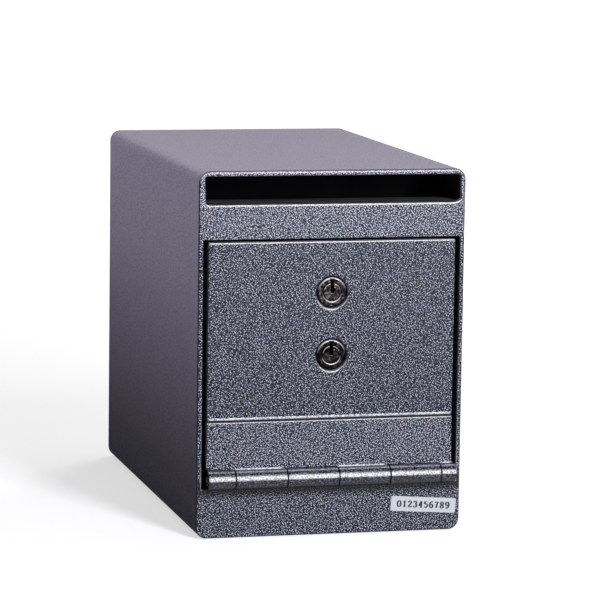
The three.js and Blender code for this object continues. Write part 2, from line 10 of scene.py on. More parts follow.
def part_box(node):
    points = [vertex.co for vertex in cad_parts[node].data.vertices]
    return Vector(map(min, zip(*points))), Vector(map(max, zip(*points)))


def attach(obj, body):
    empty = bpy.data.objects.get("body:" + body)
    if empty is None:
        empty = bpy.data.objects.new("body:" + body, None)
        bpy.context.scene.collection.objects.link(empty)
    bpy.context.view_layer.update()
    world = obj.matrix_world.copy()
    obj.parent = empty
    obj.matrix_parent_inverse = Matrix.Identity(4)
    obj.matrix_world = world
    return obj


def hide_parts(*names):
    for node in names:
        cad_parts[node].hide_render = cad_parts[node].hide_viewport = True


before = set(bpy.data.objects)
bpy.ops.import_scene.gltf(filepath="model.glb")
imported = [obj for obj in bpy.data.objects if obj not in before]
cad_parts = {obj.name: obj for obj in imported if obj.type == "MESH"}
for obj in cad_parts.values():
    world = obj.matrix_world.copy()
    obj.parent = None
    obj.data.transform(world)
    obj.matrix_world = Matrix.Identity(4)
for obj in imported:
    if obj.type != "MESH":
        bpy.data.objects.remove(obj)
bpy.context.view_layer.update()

# A small steel drop safe in grey hammertone enamel. Shapes are written in millimetres in the safe's
# own frame: x is across, y runs from the cabinet's front face to the back, and z is up.
MM = 0.001
ORIGIN = np.array([0.0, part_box("body_shell")[0].y, 0.0])


def span(node):
    """A node's lowest and highest corners, in millimetres in the safe's own frame."""
    return [(np.array(corner) - ORIGIN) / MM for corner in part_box(node)]


def middle(node):
    """The middle of a node's box."""
    return sum(span(node)) / 2


# Cabinet. A drop is how far an edge lies below that of the plain solid.
SHEET = 2.65
BEND = 6.2
ROUND_STEPS = 8
FASCIA_HEIGHT = 19.8
FASCIA_DROP = 0.3
LEFT_FILLET = (2.4, 2.2)
RIGHT_FILLET = (4.6, 1.5)
FILLET_STEPS = 6
LEFT_BUILD_UP = (0.6, 1.2)
TOP_BUILD_UP = 0.55
SLOT_CORNER = 1.6
RIM_EDGE = 1.6
REAR_EDGE = 0.8
MOUTH_EDGE = 0.45
HEAD_EDGE = 0.7
HEAD_RUN = 3.0
LIP_EDGE = 1.1
LIP_FLAT = 0.1
SILL_EDGE = 1.7
SILL_FLAT = 0.3
FINE_STEPS = 6
PANEL_EDGES = (0.3, 0.8)
ANCHOR_RADIUS = 5.0
ANCHOR_INSET = 28.0
ANCHOR_SETBACK = 52.0
ANCHOR_STEPS = 40

HALF, DEPTH, HEIGHT = span("body_shell")[1]
INNER_HALF = HALF - SHEET
CEILING = HEIGHT - SHEET
FASCIA_BOTTOM = span("upper_fascia")[0][2] - FASCIA_DROP
SILL = FASCIA_BOTTOM + FASCIA_HEIGHT

# Hinge
PLATE = 2.75
BARREL = 5.5
BARREL_STEPS = 40
PIN_BORE = 2.95
PIN_BORE_STEPS = 32
KNUCKLES = 6
FIRST_KNUCKLE = 15.5
KNUCKLE_PITCH = 29.6
KNUCKLE_CLEARANCE = 0.5
KNUCKLE_GAP = 0.4
KNUCKLE_FILLET = 0.5
KNUCKLE_FILLET_STEPS = 5
KNUCKLE_EDGES = (0.35, 0.35)
KNUCKLE_BORE_EDGES = (0.2, 0.2)
KNUCKLE_TAIL = ((0.0, -0.4), (-0.3, 0.6), (-0.8, 0.5), (0.6, 0.5))
LEAF_DROP = 0.7
LEAF_EDGE = 0.9
LEAF_FOOT_EDGE = 0.25
LEAF_FOOT = 1.0
LEAF_EDGE_STEPS = 4
LEAF_CORNER = 0.5
AXIS_Y = PLATE - BARREL
AXIS_Z = middle("hinge_pin")[2]
NOTCH_RISE = math.sqrt((BARREL + KNUCKLE_CLEARANCE) ** 2 - AXIS_Y**2)
LEAF_TOP = span("hinge_door_leaf")[1][2] - LEAF_DROP

# Door
DOOR_BOTTOM_DROP = 0.7
DOOR_TOP_DROP = 0.5
DOOR_EDGES = (1.0, 0.3)
DOOR_HOLE_EDGES = (0.55, 0.3)
DOOR_CORNER = 1.1
CORNER_STEPS = 5
DOOR_HALF = span("door_plate")[1][0]
DOOR_BOTTOM = span("door_plate")[0][2] - DOOR_BOTTOM_DROP
DOOR_TOP = span("door_plate")[1][2] - DOOR_TOP_DROP

# Locks
LOCK_HEIGHTS = {name: middle(name + "_lock_body")[2] for name in ("upper", "lower")}
LOCK_FACE = 8.45
LOCK_HOLE = 9.1
LOCK_RECESS = 0.6
LOCK_NECK = 6.9
LOCK_STEPS = 64
FLANGE = (31.0, 17.6)
FLANGE_CORNER = 3.0
FLANGE_FRONT = 6.65
FLANGE_BACK = 9.15
FLANGE_EDGES = (0.2, 0.4)
LOCK_BARREL = 8.0
LOCK_BARREL_EDGES = (0.1, 0.5)
LOCK_BORE_EDGES = (0.1, 0.1)
LOCK_OVERLAP = 0.2
CAM_FRONT = 20.4
PLUG = 5.0
PLUG_BORE = 5.1
PLUG_FACE = 0.35
PLUG_WAIST = 14.0
PLUG_STEPS = 48
TAIL_EDGES = (0.05, 0.2)
KEYWAY = 2.0
KEYWAY_BELOW = 0.4
KEYWAY_REACH = 7.7
KEYWAY_FLARE = (3.1, 1.7)
KEYWAY_BREAK = 0.1
KEYWAY_SPREAD = 0.2
KEYWAY_SINK = 0.3
KEYED_STEPS = 56
RIM_ROUND = 1.2
BORE_ROUND = 0.75
PLUG_ROUND = 0.5
PIN_PLACE = (1.5, 2.4)
PIN_PROFILE = ((0.0, -0.22), (0.2, -0.19), (0.38, -0.08), (0.46, 0.1), (0.46, 0.6), (0.0, 0.6))
PIN_STEPS = 20

# Screws. The crown is given as insets and shares of the head's height.
SCREW_HEAD = (3.1, 1.8)
SCREW_SHANK = 1.7
CAM_SCREW_HEAD = (3.6, 1.4)
CAM_SCREW_SHANK = 1.4
SCREW_EDGE = 0.12
SCREW_CROWN = ((0.0, 0.35), (0.12, 0.6), (0.45, 0.82), (1.0, 0.95), (1.5, 1.0))
HEAD_STEPS = 40
CROSS_REACH = 0.5
CROSS_HALF = 0.32
CROSS_FLOOR = (0.6, 0.05, 0.45)
CROSS_FLOOR_EDGES = (0.02, 0.02)
SHANK_OVERLAP = 0.1
SHANK_EDGES = (0.2, 0.02)
SHANK_STEPS = 24


# Outlines

def left_of(along):
    """Unit normals to the left of each direction."""
    along = along / np.linalg.norm(along, axis=1, keepdims=True)
    return np.stack([-along[:, 1], along[:, 0]], 1)


def inset(outline, distance):
    """The outline moved to its left-hand side: each point goes along the sum of its two sides' unit
    normals, over one plus their dot product, times the distance, which may differ from point to
    point."""
    distance = np.reshape(distance, (-1, 1))
    after = left_of(np.roll(outline, -1, axis=0) - outline)
    before = np.roll(after, 1, axis=0)
    dot = (before * after).sum(1, keepdims=True)
    return outline + distance * (before + after) / (1 + dot)


def circle(x, z, radius, steps):
    """Points at even angles around a centre, anticlockwise."""
    angle = np.arange(steps) * 2 * math.pi / steps
    return np.stack([x + radius * np.cos(angle), z + radius * np.sin(angle)], 1)


def arc(x, z, radius, start, stop, steps):
    """Points at even angles from one angle to another, in degrees."""
    angle = np.radians(np.linspace(start, stop, steps + 1))
    return np.stack([x + radius * np.cos(angle), z + radius * np.sin(angle)], 1)


def rectangle(left, right, bottom, top, radius, steps):
    """Four quarter circles, anticlockwise from the lower left one, with straight sides between."""
    corners = (
        (left + radius, bottom + radius, 180),
        (right - radius, bottom + radius, 270),
        (right - radius, top - radius, 0),
        (left + radius, top - radius, 90),
    )
    return np.concatenate([arc(x, z, radius, start, start + 90, steps) for x, z, start in corners])


# Solids, each a pair of points and faces

def quads(rows, columns):
    """The faces of a grid whose rows are rings."""
    index = np.arange(rows * columns).reshape(rows, columns)
    across = np.roll(index, -1, axis=1)
    corners = [index[:-1], across[:-1], across[1:], index[1:]]
    return np.stack(corners, -1).reshape(-1, 4).tolist()


def merged(*solids):
    """Several solids as one set of points and faces."""
    points, faces, first = [], [], 0
    for solid_points, solid_faces in solids:
        points.append(solid_points)
        faces += [[corner + first for corner in face] for face in solid_faces]
        first += len(solid_points)
    return np.concatenate(points), faces


# Which of x, y and z an outline's two directions and its depth are
FACING = (0, 2, 1)
ACROSS = (1, 2, 0)
UPRIGHT = (0, 1, 2)


def placed(outline, depth, axes=FACING):
    """Flat points at one depth, or at a depth each, as points in space."""
    points = np.empty((len(outline), 3))
    points[:, axes[0]] = outline[:, 0]
    points[:, axes[1]] = outline[:, 1]
    points[:, axes[2]] = depth
    return points


def flat(loops, depth, axes=FACING):
    """A flat face between an outline and its holes, in triangles numbered through the loops."""
    level = [np.pad(loop, ((0, 0), (0, 1))).tolist() for loop in loops]
    faces = [list(triangle) for triangle in tessellate_polygon(level)]
    return placed(np.concatenate(loops), depth, axes), faces


def carried(wall, axes=FACING):
    """A skin from ring to ring through a list of outlines and their depths."""
    rings = [placed(outline, depth, axes) for outline, depth in wall]
    return np.concatenate(rings), quads(len(rings), len(rings[0]))


def walled(walls, axes=FACING):
    """A closed piece from its walls, the outer one first: each is carried from ring to ring, and
    both ends are filled between the walls."""
    ends = [flat([wall[end][0] for wall in walls], walls[0][end][1], axes) for end in (0, -1)]
    return merged(*[carried(wall, axes) for wall in walls], *ends)


def capped(points):
    """A grid of rings as a closed piece, with a face at both ends."""
    rows, columns = points.shape[:2]
    ends = [list(range(columns)), list(range((rows - 1) * columns, rows * columns))]
    return points.reshape(-1, 3), quads(rows, columns) + ends


def rounding(radius, steps=3):
    """A quarter circle from a flat face to a side, as pairs of inset and depth."""
    turn = np.linspace(0, math.pi / 2, steps + 1)
    return [(radius * (1 - math.sin(t)), radius * (1 - math.cos(t))) for t in turn]


def rolled(loop, radius, steps=3, start=0.0):
    """A loop with a rounded edge, whose radius may differ from point to point."""
    return [(inset(loop, inward), start + deep) for inward, deep in rounding(radius, steps)]


def slab(outer, start, stop, edges, holes=(), hole_edges=(), axes=FACING):
    """A flat piece between two depths: each loop is carried from one to the other, and inset by a
    quarter circle at its front and back edges."""

    def wall_of(loop, front_edge, back_edge):
        back = [(inset(loop, inward), stop - deep) for inward, deep in reversed(rounding(back_edge))]
        return rolled(loop, front_edge, start=start) + back

    return walled([wall_of(outer, *edges)] + [wall_of(hole, *hole_edges) for hole in holes], axes)


JOIN = 2e-7
SLIVER = 1e-7
SHARP_ANGLE = math.radians(38)
WELD = 1e-6
BEVEL_ANGLE = math.radians(30)
BEVEL_STEPS = 2


def joined_mesh(name, points, faces):
    """A smooth mesh with its doubles merged and its faces turned outwards."""
    mesh = bpy.data.meshes.new(name)
    mesh.from_pydata(points.tolist(), [], faces)
    shape = bmesh.new()
    shape.from_mesh(mesh)
    bmesh.ops.remove_doubles(shape, verts=shape.verts, dist=JOIN)
    bmesh.ops.dissolve_degenerate(shape, edges=shape.edges, dist=SLIVER)
    bmesh.ops.recalc_face_normals(shape, faces=shape.faces)
    shape.to_mesh(mesh)
    shape.free()
    mesh.shade_smooth()
    return mesh


def put(name, data):
    """A new object in the scene."""
    obj = bpy.data.objects.new(name, data)
    bpy.context.scene.collection.objects.link(obj)
    return obj


def shade_evenly(obj):
    """Gives the larger faces more say in the shading, up to the sharp edges."""
    normals = obj.modifiers.new("even_shading", "WEIGHTED_NORMAL")
    normals.keep_sharp = True


def piece(name, solid, finish, body, slot, *replaces):
    """A finished mesh on its body, in place of its plain nodes."""
    points, faces = solid
    mesh = joined_mesh(name, points * MM + ORIGIN, faces)
    mesh.set_sharp_from_angle(angle=SHARP_ANGLE)
    mesh.materials.append(finish)
    obj = put(name, mesh)
    shade_evenly(obj)
    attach(obj, body)
    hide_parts(*replaces)


def dressed(node, finish, edge=0.25):
    """A node kept as it is, with its triangles joined, its edges broken and its finish put on."""
    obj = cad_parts[node]
    weld = obj.modifiers.new("join", "WELD")
    weld.merge_threshold = WELD
    bevel = obj.modifiers.new("broken_edges", "BEVEL")
    bevel.width = edge * MM
    bevel.segments = BEVEL_STEPS
    bevel.limit_method = "ANGLE"
    bevel.angle_limit = BEVEL_ANGLE
    obj.data.shade_smooth()
    obj.data.materials.clear()
    obj.data.materials.append(finish)
    shade_evenly(obj)


# Finishes

def shader_node(kind, inputs, tree=None, **settings):
    """A shader node with its settings, and its inputs set to values or joined to sockets. It is made
    in the tree that these sockets are in, unless one is named."""
    joined = {key: value for key, value in inputs.items() if isinstance(value, bpy.types.NodeSocket)}
    tree = tree or next(iter(joined.values())).id_data
    made = tree.nodes.new("ShaderNode" + kind)
    for key, value in settings.items():
        setattr(made, key, value)
    for key, value in inputs.items():
        if key in joined:
            tree.links.new(value, made.inputs[key])
        else:
            made.inputs[key].default_value = value
    return made


def maths(operation, *values):
    """A number worked out from one to three others."""
    return shader_node("Math", dict(enumerate(values)), operation=operation).outputs[0]


def product(value, *factors):
    """Numbers multiplied by one another."""
    for factor in factors:
        value = maths("MULTIPLY", value, factor)
    return value


def between(value, low, high, first=0.0, last=1.0):
    """A value carried smoothly from one range to another."""
    inputs = {"Value": value, "From Min": low, "From Max": high, "To Min": first, "To Max": last}
    return shader_node("MapRange", inputs, interpolation_type="SMOOTHSTEP").outputs["Result"]


def falling(value, low, high):
    """1 below a range and 0 above it."""
    return between(value, low, high, 1.0, 0.0)


def parts(vector):
    """A vector's X, Y and Z."""
    return shader_node("SeparateXYZ", {"Vector": vector}).outputs


def drawn(place, scale, turn=(0.0, 0.0, 0.0)):
    """Places scaled and turned: a pattern is drawn out along the axes whose scale is small."""
    return shader_node("Mapping", {"Vector": place, "Rotation": turn, "Scale": scale}).outputs[0]


def noise(place, scale, detail, **more):
    """A cloudy random number at each place."""
    inputs = {"Vector": place, "Scale": scale, "Detail": detail, **more}
    return shader_node("TexNoise", inputs).outputs["Fac"]


def relief(height, distance, strength):
    """The normal of a surface that rises by up to a distance in metres."""
    inputs = {"Strength": strength, "Distance": distance, "Height": height}
    return shader_node("Bump", inputs).outputs["Normal"]


def linear(red, green, blue):
    """A colour seen on a screen, 0 to 255, as a linear one, by the screen's standard curve."""
    seen = np.array([red, green, blue]) / 255
    curve = np.where(seen <= 0.04045, seen / 12.92, ((seen + 0.055) / 1.055) ** 2.4)
    return (*map(float, curve), 1.0)


def ramp(factor, levels, colours):
    """A colour for each level of a factor, with even changes between them."""
    made = shader_node("ValToRGB", {"Fac": factor})
    elements = made.color_ramp.elements
    while len(elements) < len(levels):
        elements.new(0.5)
    for element, level, colour in zip(elements, levels, colours):
        element.position = level
        element.color = colour
    return made.outputs["Color"]


def blended(factor, first, second, mode="MIX"):
    """The second colour over the first one."""
    inputs = {"Factor": factor, 6: first, 7: second}
    return shader_node("Mix", inputs, data_type="RGBA", blend_type=mode).outputs[2]


def new_finish(name):
    """An empty material, and the place and the normal that it is seen at, on the object."""
    finish = bpy.data.materials.new(name)
    finish.use_nodes = True
    finish.node_tree.nodes.clear()
    own = shader_node("TexCoord", {}, finish.node_tree).outputs
    return finish, own["Object"], own["Normal"]


def finished(finish, inputs):
    """The material with its shader's inputs given."""
    shader = shader_node("BsdfPrincipled", inputs).outputs["BSDF"]
    shader_node("OutputMaterial", {"Surface": shader})
    return finish


# Tones, ranges and bands: a range is where a noise, or the share of a normal along an axis, changes
# the look, and a band is one of heights. Bands and fades are in millimetres.
NOISE_RANGE = (0.3, 0.7)
GRAIN = 1530.0
GRAIN_DEPTH = 0.0002
GRAIN_STRENGTH = 0.8
GRAIN_STRETCH = (1.0, 1.0, 1.15)
GRAIN_TURN = (0.0, 0.5, 0.0)
# The grain's darkest and lightest tones are partly the enamel's own grain and partly painted shade and
# glints of its hammered relief
GRAIN_LEVELS = (0.42, 0.50, 0.555, 0.63)
GRAIN_TONES = (linear(0, 2, 26), linear(22, 26, 58), linear(100, 105, 138), linear(240, 244, 255))
TINTS = (linear(246, 250, 255), linear(255, 251, 255))
CLOUD_SHARE = 0.03
PEEL_STRETCH = (0.8, 0.3, 0.8)
PEEL_SHARE = 0.7
FRONT_RANGE = (0.5, 0.9)
SIDE_GRAIN = 0.1
BACK_RANGE = (0.2, 0.6)
BACK_GRAIN = 0.5
TOP_RANGE = (0.5, 0.9)
SIDE_TONES = (linear(157, 151, 172), linear(165, 159, 180))
# Painted light on the sides: darker towards the bottom, and a little at the very top, by share of the height
SIDE_LEVELS = (0.0, 0.3, 0.7, 0.86, 1.0)
SIDE_LIGHT = (0.5, 0.8, 0.97, 0.88, 0.74)
TOP_TONE = linear(164, 157, 173)
DARKEST = linear(6, 6, 10)
WHITE = linear(255, 255, 255)
BLACK = linear(0, 0, 0)
# Painted highlight just below the slot's sill
SILL_HIGHLIGHT_BAND = (SILL - 2.6, SILL - 0.6)
SILL_HIGHLIGHT_LIFT = 0.05
# Painted shadow under the hinge's barrel: between these heights the front's grain goes nearly to DARKEST
HINGE_SHADOW_START = (AXIS_Z - 12.5, AXIS_Z - 7.0)
HINGE_SHADOW_STOP = (AXIS_Z - 2.0, AXIS_Z - 1.0)
HINGE_SHADOW_LIGHT_KEPT = 0.15
TOP_BAND = (HEIGHT - 6.0, HEIGHT - 4.0)
# Painted shade on the rounded edges: where it falls, and its tones elsewhere and along the top rim
EDGE_SHADE_RISE = (0.05, 0.3)
EDGE_SHADE_FALL = (0.72, 0.86)
EDGE_SHADE_TONES = (linear(22, 20, 26), linear(100, 95, 104))
# Painted highlight along the edges that look upwards: where it falls, its flecks and its tones
HIGHLIGHT_RISE = (0.70, 0.82)
HIGHLIGHT_FALL = (0.975, 0.995)
HIGHLIGHT_UP = (0.1, 0.25)
HIGHLIGHT_FLECKS = (0.3, 0.55, 0.45, 1.0)
HIGHLIGHT_TOP_SHARE = 0.12
HIGHLIGHT_TONES = (WHITE, linear(238, 237, 247))
# Dark overspray inside, near black above these heights, which is partly painted shade
INSIDE_SHADE_BAND = (140.0, 170.0)
INSIDE_SHADE_TONES = (linear(54, 54, 60), DARKEST)
ENAMEL_ROUGHNESS = (0.3, 0.75, 0.95, 0.28)
WALL_FADE = (0.2, 0.5)
MOUTH_FADE = (1.2, 2.6)
PANEL_FADE = (0.5, 1.0)
POUR_STRETCH = (0.75, 1.0, 1.0)
POUR_LEVELS = (0.36, 0.5, 0.64)
# Painted shade underneath the knuckles
POUR_UNDER_SHADE = (-0.9, -0.45, 0.12, 1.0)
# Painted shade round the knuckles' ends, in the gaps between them
POUR_END_SHADE_RANGE = (0.1, 0.55)
POUR_END_SHADE_TONE = linear(8, 8, 14)
POUR_ROUGHNESS = (0.22, 0.14)
# Painted highlight: a light line near the top of the poured enamel
TOP_HIGHLIGHT_BAND = (0.79, 0.86, 0.91, 0.95)
TOP_HIGHLIGHT_TONES = (linear(112, 110, 122), linear(196, 194, 206))
# Painted highlight: a speckled band where the poured enamel looks forwards and a little upwards
FRONT_HIGHLIGHT_BAND = (0.0, 0.14, 0.32, 0.55)
FRONT_HIGHLIGHT_TONES = (linear(160, 159, 170), linear(238, 237, 244), WHITE)
INNER_SHADE = (0.003, 0.007)
INNER_SHADE_TONE = linear(6, 6, 9)
INNER_ROUGHNESS = (0.7, 0.85)
METAL_LEVELS = (0.35, 0.65)
FILM_LEVELS = (0.36, 0.5, 0.66)
FILM_ROUGHNESS = (0.24, 0.5)
# Painted highlight on the locks' edges that look upwards
FILM_HIGHLIGHT_RISE = (0.3, 0.6)
FILM_HIGHLIGHT_FALL = (0.97, 0.995)
FILM_HIGHLIGHT_UP = (0.02, 0.3)
INK_LEVELS = (0.3, 0.75)


def hammertone(name, heights, lifts, contrasts, shell=False):
    """Grey hammertone enamel: a worm-like grain of dark and light, full on the faces that look to
    the front and softer at the back, and a faint peel drawn out along the top and the sides. The
    grain is partly the enamel's own and partly painted glints and shade of its relief. Between two
    heights the grain goes from one brightness and contrast to another, and that brightness is
    painted light. The rounded edges are darker, a painted shade, and the edges that look upwards
    carry a painted highlight. On the shell there is a painted highlight just below the slot's
    sill, painted light that darkens the sides towards the bottom and a little at the top, a
    painted shadow under the hinge, and dark overspray inside that is near black towards the top,
    partly painted shade."""
    finish, place, normal = new_finish(name)
    grain = noise(drawn(place, GRAIN_STRETCH, GRAIN_TURN), GRAIN, detail=0.0)
    clouds = noise(place, scale=90.0, detail=3.0, Roughness=0.6)
    height = parts(place)["Z"]

    def by_height(low, high, first=0.0, last=1.0):
        return between(height, low * MM, high * MM, first, last)

    # Painted light: the grain is made lighter or darker with height, and from piece to piece
    painted_lift = by_height(*heights, *lifts)
    # Painted highlight: the grain is lifted just below the slot's sill
    if shell:
        painted_lift = maths("ADD", painted_lift, by_height(*SILL_HIGHLIGHT_BAND, 0.0, SILL_HIGHLIGHT_LIFT))
    centred = maths("SUBTRACT", grain, 0.5)
    scaled = maths("MULTIPLY_ADD", centred, by_height(*heights, *contrasts), 0.5)
    patchy = maths("MULTIPLY_ADD", clouds, CLOUD_SHARE, -CLOUD_SHARE / 2)
    level = maths("ADD", maths("ADD", scaled, painted_lift), patchy)
    worms = ramp(level, GRAIN_LEVELS, GRAIN_TONES)
    tint = blended(between(clouds, *NOISE_RANGE), *TINTS)
    grained = blended(1.0, worms, tint, "MULTIPLY")
    sides = blended(clouds, *SIDE_TONES)
    if shell:
        # Painted light: the sides are darker towards the bottom
        share = maths("MULTIPLY", height, 1 / (HEIGHT * MM))
        light = ramp(share, SIDE_LEVELS, [(tone, tone, tone, 1.0) for tone in SIDE_LIGHT])
        sides = blended(1.0, sides, light, "MULTIPLY")
        # Painted shadow under the hinge: the grain goes nearly to DARKEST in a band below the barrel
        below = by_height(*HINGE_SHADOW_START, 1.0, HINGE_SHADOW_LIGHT_KEPT)
        out_of_hinge_shadow = maths("MAXIMUM", below, by_height(*HINGE_SHADOW_STOP))
        grained = blended(out_of_hinge_shadow, DARKEST, grained)
    _, backwards, upwards = parts(normal)
    plain = blended(between(upwards, *TOP_RANGE), sides, TOP_TONE)
    peel = noise(drawn(place, PEEL_STRETCH), GRAIN, detail=0.0)
    tone = maths("MULTIPLY_ADD", peel, PEEL_SHARE, 1 - PEEL_SHARE / 2)
    peeled = blended(1.0, plain, tone, "MULTIPLY")
    facing = maths("ABSOLUTE", backwards)
    # The grain, with its painted glints and shade, is full on the faces that look to the front and faint on
    # the sides
    full = between(facing, *FRONT_RANGE, SIDE_GRAIN, 1.0)
    towards_back = between(backwards, *BACK_RANGE, 1.0, BACK_GRAIN)
    strength = maths("MINIMUM", full, towards_back)
    painted = blended(strength, peeled, grained)
    # Painted shade: the rounded edges are darker, less so along the top rim
    edge = product(between(facing, *EDGE_SHADE_RISE), falling(facing, *EDGE_SHADE_FALL))
    at_top = by_height(*TOP_BAND)
    edged = blended(edge, painted, blended(at_top, *EDGE_SHADE_TONES))
    # Painted highlight: the edges that look upwards are lightened, broken up by the grain
    painted_highlight = product(
        between(maths("MULTIPLY_ADD", at_top, -HIGHLIGHT_TOP_SHARE, facing), *HIGHLIGHT_RISE),
        falling(facing, *HIGHLIGHT_FALL),
        between(upwards, *HIGHLIGHT_UP),
        between(grain, *HIGHLIGHT_FLECKS),
    )
    colour = blended(painted_highlight, edged, blended(at_top, *HIGHLIGHT_TONES))
    # Dark overspray inside, near black towards the top: partly real overspray, partly painted shade
    if shell:
        overspray_and_shade = blended(by_height(*INSIDE_SHADE_BAND), *INSIDE_SHADE_TONES)
        colour = blended(inside_cabinet(place), colour, overspray_and_shade)
    return finished(finish, {
        "Base Color": colour,
        "Roughness": between(facing, *ENAMEL_ROUGHNESS),
        "Specular IOR Level": 0.25,
        "Normal": relief(grain, GRAIN_DEPTH, maths("MULTIPLY", strength, GRAIN_STRENGTH)),
    })


def inside_cabinet(place):
    """1 on the cabinet's inner walls and the back panel's front, and 0 elsewhere."""
    to_middle = (0.0, -ORIGIN[1], -HEIGHT / 2 * MM)
    away = shader_node("VectorMath", {0: place, 1: to_middle}, operation="ADD").outputs["Vector"]
    x, y, z = parts(away)

    def up_to(value, limit, fade):
        return falling(value, (limit + fade[0]) * MM, (limit + fade[1]) * MM)

    return product(
        up_to(maths("ABSOLUTE", x), INNER_HALF, WALL_FADE),
        up_to(maths("ABSOLUTE", z), HEIGHT / 2 - SHEET, WALL_FADE),
        between(y, MOUTH_FADE[0] * MM, MOUTH_FADE[1] * MM),
        up_to(y, span("back_panel")[0][1], PANEL_FADE),
    )


def poured_enamel(name, tones):
    """The same enamel where it has run thick, over the hinge's knuckles or into a bead: glossier,
    with its grain drawn out across the safe. It carries a painted highlight along a line near the
    top and another, speckled, in a band where it looks forwards and a little upwards, and painted
    shade underneath and round the knuckles' ends."""
    finish, place, normal = new_finish(name)
    grain = noise(drawn(place, POUR_STRETCH), GRAIN, detail=0.5, Distortion=0.5)
    across, _, up = parts(normal)

    def where(band):
        return ramp(up, band, (BLACK, WHITE, WHITE, BLACK))

    colour = ramp(grain, POUR_LEVELS, tones)
    # Painted shade: darker where it looks downwards
    colour = blended(1.0, colour, between(up, *POUR_UNDER_SHADE), "MULTIPLY")
    # Painted highlight along a line near the top
    top_highlight = ramp(grain, POUR_LEVELS[::2], TOP_HIGHLIGHT_TONES)
    colour = blended(where(TOP_HIGHLIGHT_BAND), colour, top_highlight)
    # Painted highlight in a speckled band on the front
    front_highlight = ramp(grain, POUR_LEVELS, FRONT_HIGHLIGHT_TONES)
    colour = blended(where(FRONT_HIGHLIGHT_BAND), colour, front_highlight)
    # Painted shade round the knuckles' ends
    ends = between(maths("ABSOLUTE", across), *POUR_END_SHADE_RANGE)
    return finished(finish, {
        "Base Color": blended(ends, colour, POUR_END_SHADE_TONE),
        "Roughness": between(grain, *NOISE_RANGE, *POUR_ROUGHNESS),
        "Specular IOR Level": 0.4,
        "Specular Tint": (0.94, 0.95, 1.0, 1.0),
        "Normal": relief(grain, GRAIN_DEPTH, strength=0.6),
    })


def inner_paint(name, dark, light, shaded=False):
    """Dark overspray inside the cabinet: satin, with a fine orange peel and a patchy tone. On a shaded
    piece it is darker in the first few millimetres behind the front, a painted shadow."""
    finish, place, _ = new_finish(name)
    patches = noise(place, scale=38.0, detail=4.0)
    peel = noise(place, scale=900.0, detail=1.0)
    colour = ramp(patches, NOISE_RANGE, (dark, light))
    if shaded:
        start, stop = (ORIGIN[1] + SHEET * MM + depth for depth in INNER_SHADE)
        reached = between(parts(place)["Y"], start, stop)
        colour = blended(reached, INNER_SHADE_TONE, colour)
    return finished(finish, {
        "Base Color": colour,
        "Roughness": between(patches, *NOISE_RANGE, *INNER_ROUGHNESS),
        "Specular IOR Level": 0.25,
        "Normal": relief(peel, distance=0.0001, strength=0.25),
    })


def plated(name, tones, grain_scale, roughness, stretch=(1.0, 1.0, 1.0)):
    """Metal with a drawn or plated surface: stretched noise for its lines, patches for its tone."""
    finish, place, _ = new_finish(name)
    lines = noise(drawn(place, stretch), grain_scale, detail=3.0)
    patches = noise(place, scale=120.0, detail=3.0)
    half = maths("MULTIPLY", maths("ADD", lines, patches), 0.5)
    return finished(finish, {
        "Base Color": ramp(half, METAL_LEVELS, tones),
        "Roughness": between(patches, *NOISE_RANGE, *roughness),
        "Metallic": 1.0,
        "Normal": relief(lines, distance=0.00005, strength=0.2),
    })


def lock_nickel(name, film, highlight_tone):
    """Old dark nickel: a cloudy film of three tones over an uneven casting, with a painted highlight
    along the edges that look upwards."""
    finish, place, normal = new_finish(name)
    clouds = noise(place, scale=640.0, detail=3.0, Roughness=0.6)
    _, backwards, upwards = parts(normal)
    facing = maths("MULTIPLY", backwards, -1.0)
    painted_highlight = product(
        between(facing, *FILM_HIGHLIGHT_RISE),
        falling(facing, *FILM_HIGHLIGHT_FALL),
        between(upwards, *FILM_HIGHLIGHT_UP),
    )
    return finished(finish, {
        "Base Color": blended(painted_highlight, ramp(clouds, FILM_LEVELS, film), highlight_tone),
        "Roughness": between(painted_highlight, 0.0, 1.0, *FILM_ROUGHNESS),
        "Metallic": 1.0,
        "Normal": relief(clouds, distance=0.0003, strength=0.35),
    })


def paper():
    """Matt white label stock with faint fibres."""
    finish, place, _ = new_finish("label_stock")
    fibres = noise(place, scale=1500.0, detail=4.0)
    return finished(finish, {
        "Base Color": ramp(fibres, NOISE_RANGE, (linear(232, 235, 245), linear(246, 248, 254))),
        "Roughness": 0.6,
        "Normal": relief(fibres, distance=0.00003, strength=0.15),
    })


def ink():
    """Dark printing ink with a little less cover here and there."""
    finish, place, _ = new_finish("label_ink")
    cover = noise(place, scale=2500.0, detail=2.0)
    return finished(finish, {
        "Base Color": ramp(cover, INK_LEVELS, (linear(10, 12, 24), linear(38, 40, 54))),
        "Roughness": 0.5,
    })


# Each enamel's lifts are painted light: the grain is lighter higher up, and lighter or darker from piece to
# piece
ENAMEL = hammertone("shell_enamel", (150.0, 175.0), (-0.066, -0.038), (1.25, 1.4), shell=True)
DOOR_ENAMEL = hammertone("door_enamel", (70.0, 165.0), (-0.087, -0.078), (1.25, 1.25))
LEAF_ENAMEL = hammertone("leaf_enamel", (38.0, 66.0), (-0.048, -0.048), (1.3, 1.3))
POURED = poured_enamel("poured_enamel", (linear(6, 6, 16), linear(38, 37, 52), linear(120, 117, 135)))
# The beads' and runs' light tones are a painted highlight
RUN = poured_enamel("run_enamel_highlight", (linear(160, 161, 174), linear(215, 216, 228), WHITE))
# Near black overspray on the inner parts: partly their dark paint, partly painted shade in the gaps and the
# groove behind the fascia
OVERSPRAY_AND_SHADE = inner_paint("inner_overspray_and_shade", linear(12, 12, 17), linear(26, 26, 32))
